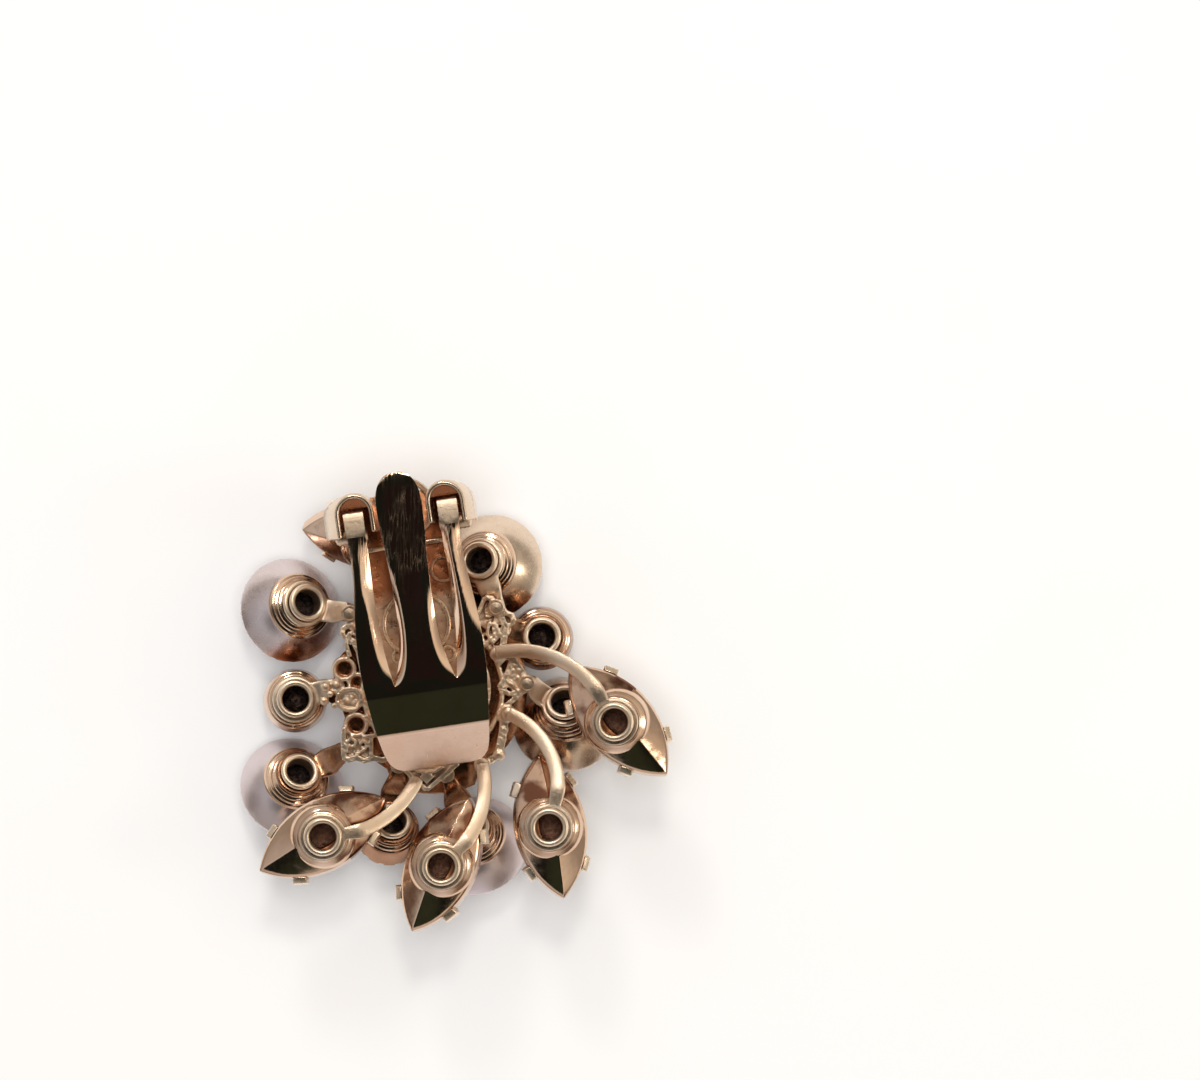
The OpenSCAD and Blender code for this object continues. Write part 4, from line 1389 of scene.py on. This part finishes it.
# Filigree: loops, ribbons, fans and beads round the middle of the base, fused as a casting is
filigreeSizes = {
    "fanAngles": [94],
    "panelAngles": [50, 139],
    "hub": [
        (1.3, 0.05), (4.4, 0.05), (4.4, 0.38), (3.9, 0.38), (3.9, 0.72), (3.4, 0.75), (3.3, 1.0),
        (2.9, 1.0), (2.8, 0.72), (1.3, 0.72), (1.3, 0.05)
    ],
    "seatRadius": 0.62,
    "seatHeight": 0.6,
    "rivetSeatRadius": 0.66,
    # heights over the underside
    "ribbonLow": 0.1,
    "loopHeight": 0.5,
    "beadHeight": 0.7,
    "voxel": 0.062,
    "kept": 0.66,
    # distance, angle off the lobe's line, loop radius, wire radius
    "fanLoops": [(4.6, 0, 0.78, 0.22), (5.83, -9.7, 0.66, 0.22), (5.83, 9.7, 0.66, 0.22)],
    "panelLoops": [(4.6, 0, 0.78, 0.22), (5.55, -8, 0.48, 0.18), (5.55, 8, 0.48, 0.18)],
    "panelBeads": [(8.05, -9, 0.22), (8.05, 9, 0.22), (8.0, 0, 0.22)],
    # lines and corners of one lobe that points along X
    "fanSide": [(5.0, 2.1), (6.1, 1.6), (7.1, 0.3)],
    "fanFloor": [(4.9, -1.6), (6.1, -1.5), (7.1, 0), (6.1, 1.5), (4.9, 1.6)],
    "panelSide": [(4.9, 0.8), (5.7, 0.95), (6.8, 1.1), (7.85, 1.45)],
    "panelRim": [
        (7.85, -1.45), (8.12, -1.0), (7.95, -0.5), (8.1, 0), (7.95, 0.5), (8.12, 1.0), (7.85, 1.45)
    ],
    "panelFloor": [
        (6.0, -0.95), (7.0, -1.1), (7.9, -1.45), (8.15, 0), (7.9, 1.45), (7.0, 1.1), (6.0, 0.95)
    ],
    # x, y, loop radius, wire radius
    "loops": [
        (-8.1, 2.62, 0.78, 0.2), (-7.12, 1.6, 0.62, 0.18), (-7.2, -1.61, 0.8, 0.2),
        (-5.6, -0.9, 0.6, 0.18)
    ],
    # x, y, bead radius
    "beads": [
        (-7.57, 5.95, 0.42), (-9.54, 1.26, 0.38), (-9.62, 0.2, 0.36), (-9.16, 0.73, 0.28),
        (-8.86, -0.17, 0.26), (-8.71, 1.49, 0.28), (3.95, -1.2, 0.36), (4.0, -1.95, 0.36),
        (3.85, -2.7, 0.36), (3.6, -3.85, 0.5), (3.01, -4.26, 0.32), (4.75, 2.5, 0.22),
        (5.05, 1.95, 0.22), (-6.5, -2.85, 0.2), (-7.65, -3.2, 0.2), (-6.72, -3.35, 0.18),
        (-7.55, 0.5, 0.22), (-7.3, 0.05, 0.2), (-7.9, 0.2, 0.18)
    ],
    # points along the middle, width
    "ribbons": [
        ([(-7.65, 5.42), (-7.95, 4.44), (-7.65, 3.53)], 0.34),
        ([(-7.5, 4.81), (-7.05, 3.91), (-6.74, 2.4)], 0.36),
        (
            [
                (-8.63, 0.28), (-8.5, 0.72), (-8.18, 1.02), (-7.7, 1.14), (-7.2, 1.05), (-6.86, 0.74),
                (-6.76, 0.3), (-6.9, -0.12), (-7.2, -0.4), (-7.7, -0.5), (-8.25, -0.38), (-8.55, -0.1),
                (-8.63, 0.28)
            ],
            0.3
        ),
        ([(-6.74, 0.35), (-6.14, -0.33)], 0.3),
        ([(-6.52, -0.93), (-5.91, -1.38), (-5.61, -2.44)], 0.3),
        ([(-8.1, -1.76), (-8.18, -2.9), (-8.14, -4.03)], 0.36),
        (
            [
                (-8.18, -4.03), (-7.73, -4.26), (-7.2, -4.07), (-6.59, -4.33), (-5.84, -4.11),
                (-5.23, -4.29), (-4.55, -4.03)
            ],
            0.42
        ),
        ([(-6.06, -2.44), (-6.06, -4.03)], 0.3),
        ([(-6.74, -2.52), (-4.78, -2.33)], 0.28),
        (
            [(-7.9, -3.75), (-7.95, -3.0), (-7.6, -2.6), (-7.2, -2.85), (-7.35, -3.25), (-7.6, -3.2)],
            0.22
        ),
        ([(-7.3, -3.8), (-6.9, -3.7), (-6.5, -3.4), (-6.4, -3.0), (-6.7, -2.8), (-6.95, -3.1)], 0.22),
        ([(-3.57, -4.26), (0.21, -4.26)], 0.4),
        ([(3.69, 6.71), (4.07, 5.87), (3.97, 4.81), (3.8, 3.91)], 0.5),
        ([(2.86, 6.18), (3.46, 5.8), (3.61, 5.12), (3.16, 4.59), (2.71, 5.27), (2.86, 6.18)], 0.24),
        ([(3.16, 5.8), (3.24, 5.04)], 0.2),
        ([(3.16, 3.83), (3.92, 3.68), (4.6, 3.45)], 0.5),
        ([(4.6, 3.45), (5.2, 2.62), (5.73, 1.72)], 0.5),
        ([(4.6, 3.3), (4.22, 2.24), (3.61, 1.19)], 0.42),
        ([(3.61, 1.19), (4.37, 0.73), (5.5, 0.96)], 0.36),
        ([(4.07, 1.79), (4.6, 1.49), (5.13, 0.88)], 0.24),
        ([(3.69, 0.73), (4.22, 1.34)], 0.22),
        ([(5.58, 1.04), (4.67, 0.28), (3.61, -0.63)], 0.4),
        ([(3.69, -0.48), (3.99, -1.23), (3.92, -2.14), (3.72, -3.12), (3.58, -4.03)], 0.66),
        ([(2.93, -4.18), (3.61, -4.03)], 0.4),
    ],
    # the raised rim of the lowest fan: points, width
    "rims": [
        ([(-4.0, -4.45), (-2.89, -5.54), (-1.83, -6.5)], 0.34),
        ([(-1.83, -6.5), (-0.77, -5.62), (0.55, -4.45)], 0.34),
        ([(-3.0, -4.75), (-2.5, -5.1), (-1.83, -5.2), (-1.2, -5.1), (-0.6, -4.75)], 0.2),
    ],
    # corners, low side, high side
    "slabs": [
        (
            [
                (-7.65, 4.44), (-8.41, 3.61), (-9.0, 2.7), (-8.86, 1.49), (-9.3, 0.88), (-9.3, 0.1),
                (-8.3, -0.45), (-8.05, -1.2), (-8.03, -4.03), (-6.06, -4.03), (-6.06, -2.59),
                (-4.78, -2.44), (-4.47, 4.81)
            ],
            0.05, 0.3
        ),
        (
            [(-8.48, 0.28), (-8.2, 0.88), (-7.27, 0.96), (-6.89, 0.35), (-7.27, -0.25), (-8.28, -0.2)],
            0.1, 0.66
        ),
        ([(-8.1, -2.44), (-6.14, -2.44), (-6.14, -4.03), (-8.1, -4.03)], 0.1, 0.62),
        ([(-3.87, -4.56), (-1.83, -6.35), (0.35, -4.56)], 0.1, 1.3),
        (
            [(-2.4, -5.5), (-2.15, -5.3), (-1.83, -5.22), (-1.5, -5.3), (-1.26, -5.5), (-1.83, -6.05)],
            1.2, 1.62
        ),
        (
            [
                (4.6, 3.38), (5.2, 2.55), (5.73, 1.64), (5.28, 1.04), (4.52, 1.04), (3.99, 1.49),
                (4.37, 2.4)
            ],
            0.1, 0.78
        ),
        ([(3.16, 3.3), (4.29, 3.45), (3.61, 2.77)], 0.2, 0.92),
        ([(2.86, 6.18), (3.92, 6.48), (3.92, 4.36), (2.78, 4.36)], 0.1, 0.5),
    ],
}


# A slightly flattened bead
def addBead(x, y, radius, z):
    ball = {"segments": 20, "ring_count": 12, "radius": radius, "scale": (1, 1, 0.7)}
    bead = addPiece(bpy.ops.mesh.primitive_uv_sphere_add, location=(x, y, z), **ball)
    applyPlace(bead)
    return bead


# An upright strip of metal led along a line
def addRibbon(points, width, low, high):
    ribbon = lineAlong(points, low)
    pull((0, 0, high - low))
    endEdit()
    addModifier(ribbon, "SOLIDIFY", thickness=width, offset=0, use_even_offset=True)
    return ribbon


def addDisc(x, y, radius, low, high):
    size = {"vertices": 32, "radius": radius, "depth": high - low}
    disc = addPiece(bpy.ops.mesh.primitive_cylinder_add, location=(x, y, (low + high) / 2), **size)
    applyPlace(disc)
    return disc


def spot(distance, angle):
    a = math.radians(angle)
    return (distance * math.cos(a), distance * math.sin(a))


def spiral(x, y, turns, outer, inner):
    out = []
    for k in range(19):
        a = math.pi + turns * 2 * math.pi * k / 18
        r = outer + (inner - outer) * k / 18
        out.append((x + r * math.cos(a), y + r * math.sin(a)))
    return out


# A flat piece with the given corners
def slab(points, z, height):
    circle = {"vertices": len(points), "radius": 1, "fill_type": "NGON"}
    plate = addPiece(bpy.ops.mesh.primitive_circle_add, **circle)
    for v, p in zip(plate.data.vertices, points):
        v.co = (p[0], p[1], z)
    startEdit(plate)
    chooseAll()
    pull((0, 0, height))
    faceOutwards()
    endEdit()
    return plate


def fanLobe():
    s = filigreeSizes
    under = layout["baseUnder"]
    foot = under + s["ribbonLow"]
    bits = [addLoop(*spot(d, a), r, w, under + s["loopHeight"]) for d, a, r, w in s["fanLoops"]]
    for side in (-1, 1):
        points = [(x, side * y) for x, y in s["fanSide"]]
        bits.append(addRibbon(points, 0.4, foot, under + 0.9))
    bits.append(slab(s["fanFloor"], foot, 0.4))
    return joinPieces(bits, "fanLobe")


def panelLobe():
    s = filigreeSizes
    under = layout["baseUnder"]
    foot = under + s["ribbonLow"]
    bits = [addLoop(*spot(d, a), r, w, under + s["loopHeight"]) for d, a, r, w in s["panelLoops"]]
    bits += [addBead(*spot(d, a), r, under + 0.85) for d, a, r in s["panelBeads"]]
    bits.append(slab(s["panelFloor"], foot, 0.5))
    bits.append(addRibbon(s["panelRim"], 0.4, foot, under + 0.95))
    for side in (-1, 1):
        points = [(x, side * y) for x, y in s["panelSide"]]
        bits.append(addRibbon(points, 0.34, foot, under + 0.9))
        bits.append(
            addRibbon(spiral(7.2, side * 0.55, side * 1.2, 0.42, 0.14), 0.2, under + 0.4, under + 0.85)
        )
    return joinPieces(bits, "panelLobe")


# Three of the rivets show beside the clip
rivetRoots = [layout["largeRounds"][k][4:6] for k in (0, 1, 3)]


def makeFiligree():
    s = filigreeSizes
    under = layout["baseUnder"]
    hub = turned("hub", s["hub"], 72, closed=True)
    setPlace(hub, shift(0, 0, under))
    bits = [hub, addLoop(0, 0, 5.3, 0.24, under + s["loopHeight"])]
    for model, angles in ((fanLobe(), s["fanAngles"]), (panelLobe(), s["panelAngles"])):
        for angle in angles:
            twin = copyOf(model, "lobe")
            setPlace(twin, turnZ(angle))
            bits.append(twin)
        bpy.data.objects.remove(model)
    base = joinPieces(bits, "filigreeBase")
    setPlace(base, shift(*layout["baseMiddle"], 0))
    bits = [addLoop(*loop, under + s["loopHeight"]) for loop in s["loops"]]
    bits += [addBead(*bead, under + s["beadHeight"]) for bead in s["beads"]]
    foot = under + s["ribbonLow"]
    bits += [addRibbon(points, width, foot, under + 0.92) for points, width in s["ribbons"]]
    bits += [addRibbon(points, width, foot, under + 1.6) for points, width in s["rims"]]
    bits += [slab(corners, under + low, high - low) for corners, low, high in s["slabs"]]
    # seats under the arms and the strips
    stripRoots = [row[4:6] for row in layout["largeRounds"] + layout["smallRounds"]]
    seat, low, top = s["seatRadius"], under + s["seatHeight"], layout["baseTop"]
    bits += [addDisc(*row[:2], seat, under, top) for row in layout["armRoots"][:4]]
    bits += [addDisc(*root, seat, under, low) for root in stripRoots]
    bits += [addDisc(*root, s["rivetSeatRadius"], under, top - 0.02) for root in rivetRoots]
    bits.append(addDisc(*layout["armRoots"][4][:2], seat, under, low))
    base = joinPieces([base] + bits, "filigreeBase")
    addModifier(base, "REMESH", mode="VOXEL", voxel_size=s["voxel"])
    addModifier(base, "SMOOTH", factor=0.5, iterations=2)
    addModifier(base, "DECIMATE", ratio=s["kept"])
    smoothShade(base, 60)
    dress(base, castGold)
    # the floors of the loops lie in shade
    paintFaces(base, copperGold, lambda mid, normal: mid.z < under + 0.36 and normal.z > 0.2)
    return base


putInPlace(makeFiligree(), flatPlace(0, 0), fixedBody, ["filigree_base"])
print("filigree ready")


# Rivets: flat heads with a raised edge at the inner ends of three strips
rivetSizes = {
    "profile": [
        (0.3, -0.7), (0.3, 0.0), (0.56, 0.0), (0.6, 0.06), (0.6, 0.16), (0.54, 0.24), (0.47, 0.24),
        (0.43, 0.19), (0.2, 0.23), (0.02, 0.24)
    ],
}


def makeRivet():
    rivet = turned("rivetModel", rivetSizes["profile"], 36)
    tidyNormals(rivet)
    smoothShade(rivet, 50)
    return rivet


rivetModel = makeRivet()
made = []
for root in rivetRoots:
    twin = copyOf(rivetModel, "rivet")
    setPlace(twin, shift(*root, layout["baseTop"] - 0.02))
    made.append(twin)
bpy.data.objects.remove(rivetModel)
putInPlace(
    joinPieces(made, "domeRivets"), flatPlace(0, 0), fixedBody, ["dome_rivets"], armGold
)
print("rivets ready")

# Studio: pale floor, camera straight above as in the photograph, soft light from all round
studio = {
    "cameraAt": (0.0111035, 0.0122455, 0.309),
    "lens": 120,
    "fillAt": (0.011, 0.012, 0.9),
    "fillSize": 0.6,
    "fillEnergy": 4.4,
    "floor": (0.90, 0.91, 0.94),
    "floorWarm": (0.90, 0.89, 0.885),
    "right": (0.89, 0.79, 0.66),
    "left": (0.57, 0.58, 0.62),
    "horizon": (0.34, 0.30, 0.26),
    # azimuth, angle from straight up, full to this radius, gone at this radius, colour
    "patches": [
        (270, 86, 8, 26, (0.84, 0.80, 0.84)),
        (192, 84, 8, 18, (0.12, 0.08, 0.06)),
        (-48, 74, 8, 20, (0.14, 0.09, 0.07)),
        (262, 12, 34, 42, (0.010, 0.012, 0.010)),
        (262, 36, 6, 15, (0.026, 0.034, 0.020)),
        (262, 4, 3, 9, (0.016, 0.010, 0.010)),
    ],
    # azimuth, angle from straight up, size, energy, colour
    "lamps": [
        (85, 29, 0.09, 0.42, (1.0, 0.95, 0.86)),
        (-2, 60, 0.16, 0.26, (1.0, 0.93, 0.82)),
        (105, 56, 0.10, 0.36, (1.0, 0.97, 0.92)),
    ],
}

floor = addPiece(bpy.ops.mesh.primitive_plane_add, size=1.2, location=(0.011, 0.012, -0.0002))
floor.name = "paleFloor"
material, tree, shader = newMaterial("palePaper")
fibres = noiseAt(tree, objectCoords(tree, (1, 1, 1)), 40.0)
paper = mixColours(tree, fibres, studio["floor"], studio["floorWarm"])
tree.links.new(paper, shader.inputs["Base Color"])
shader.inputs["Roughness"].default_value = 0.7
floor.data.materials.append(material)

cameraData = bpy.data.cameras.new("camera")
cameraData.lens = studio["lens"]
cameraData.sensor_width = 36
cameraData.clip_start = 0.01
cameraData.clip_end = 10
camera = bpy.data.objects.new("camera", cameraData)
bpy.context.scene.collection.objects.link(camera)
camera.location = studio["cameraAt"]
bpy.context.scene.camera = camera

world = bpy.data.worlds.new("softStudio")
bpy.context.scene.world = world
world.use_nodes = True
tree = world.node_tree
tree.nodes.clear()
worldOut = tree.nodes.new("ShaderNodeOutputWorld")
background = tree.nodes.new("ShaderNodeBackground")
tree.links.new(background.outputs[0], worldOut.inputs[0])
direction = tree.nodes.new("ShaderNodeTexCoord").outputs["Generated"]


def upTo(azimuth, tilt):
    a, t = math.radians(azimuth), math.radians(tilt)
    return Vector((math.cos(a) * math.sin(t), math.sin(a) * math.sin(t), math.cos(t)))


def along(axis):
    towards = tree.nodes.new("ShaderNodeVectorMath")
    towards.operation = "DOT_PRODUCT"
    tree.links.new(direction, towards.inputs[0])
    towards.inputs[1].default_value = axis
    return towards.outputs["Value"]


# cool light from the left, warm from the right, dimmer near the horizon, and patches in place of flags
sky = blend(tree, along(upTo(10, 70)), -0.7, 0.8, studio["left"], studio["right"])
lowSky = mapValue(tree, along(Vector((0, 0, 1))), 0.2, 0.65, 1.0, 0.0)
sky = mixColours(tree, lowSky, sky, studio["horizon"])
for azimuth, tilt, core, edge, colour in studio["patches"]:
    low, high = math.cos(math.radians(edge)), math.cos(math.radians(core))
    sky = blend(tree, along(upTo(azimuth, tilt)), low, high, sky, colour)
tree.links.new(sky, background.inputs[0])
background.inputs[1].default_value = 1.0


def addLamp(name, size, energy, spot):
    data = bpy.data.lights.new(name, "AREA")
    data.shape = "DISK"
    data.size = size
    data.energy = energy
    lamp = bpy.data.objects.new(name, data)
    bpy.context.scene.collection.objects.link(lamp)
    lamp.location = spot
    return lamp


# small strong lamps give the satin metal its highlights
for azimuth, tilt, size, energy, colour in studio["lamps"]:
    away = upTo(azimuth, tilt)
    key = addLamp("softBox", size, energy, Vector((0.0, 0.0, 0.006)) + away * 0.5)
    key.data.color = colour
    key.rotation_euler = away.to_track_quat("Z", "Y").to_euler()

# a wide soft lamp fills the floor and the stones without showing in the polished metal
fill = addLamp("softFill", studio["fillSize"], studio["fillEnergy"], studio["fillAt"])
fill.visible_glossy = False

bpy.context.scene.view_settings.view_transform = "Standard"
print("studio ready")
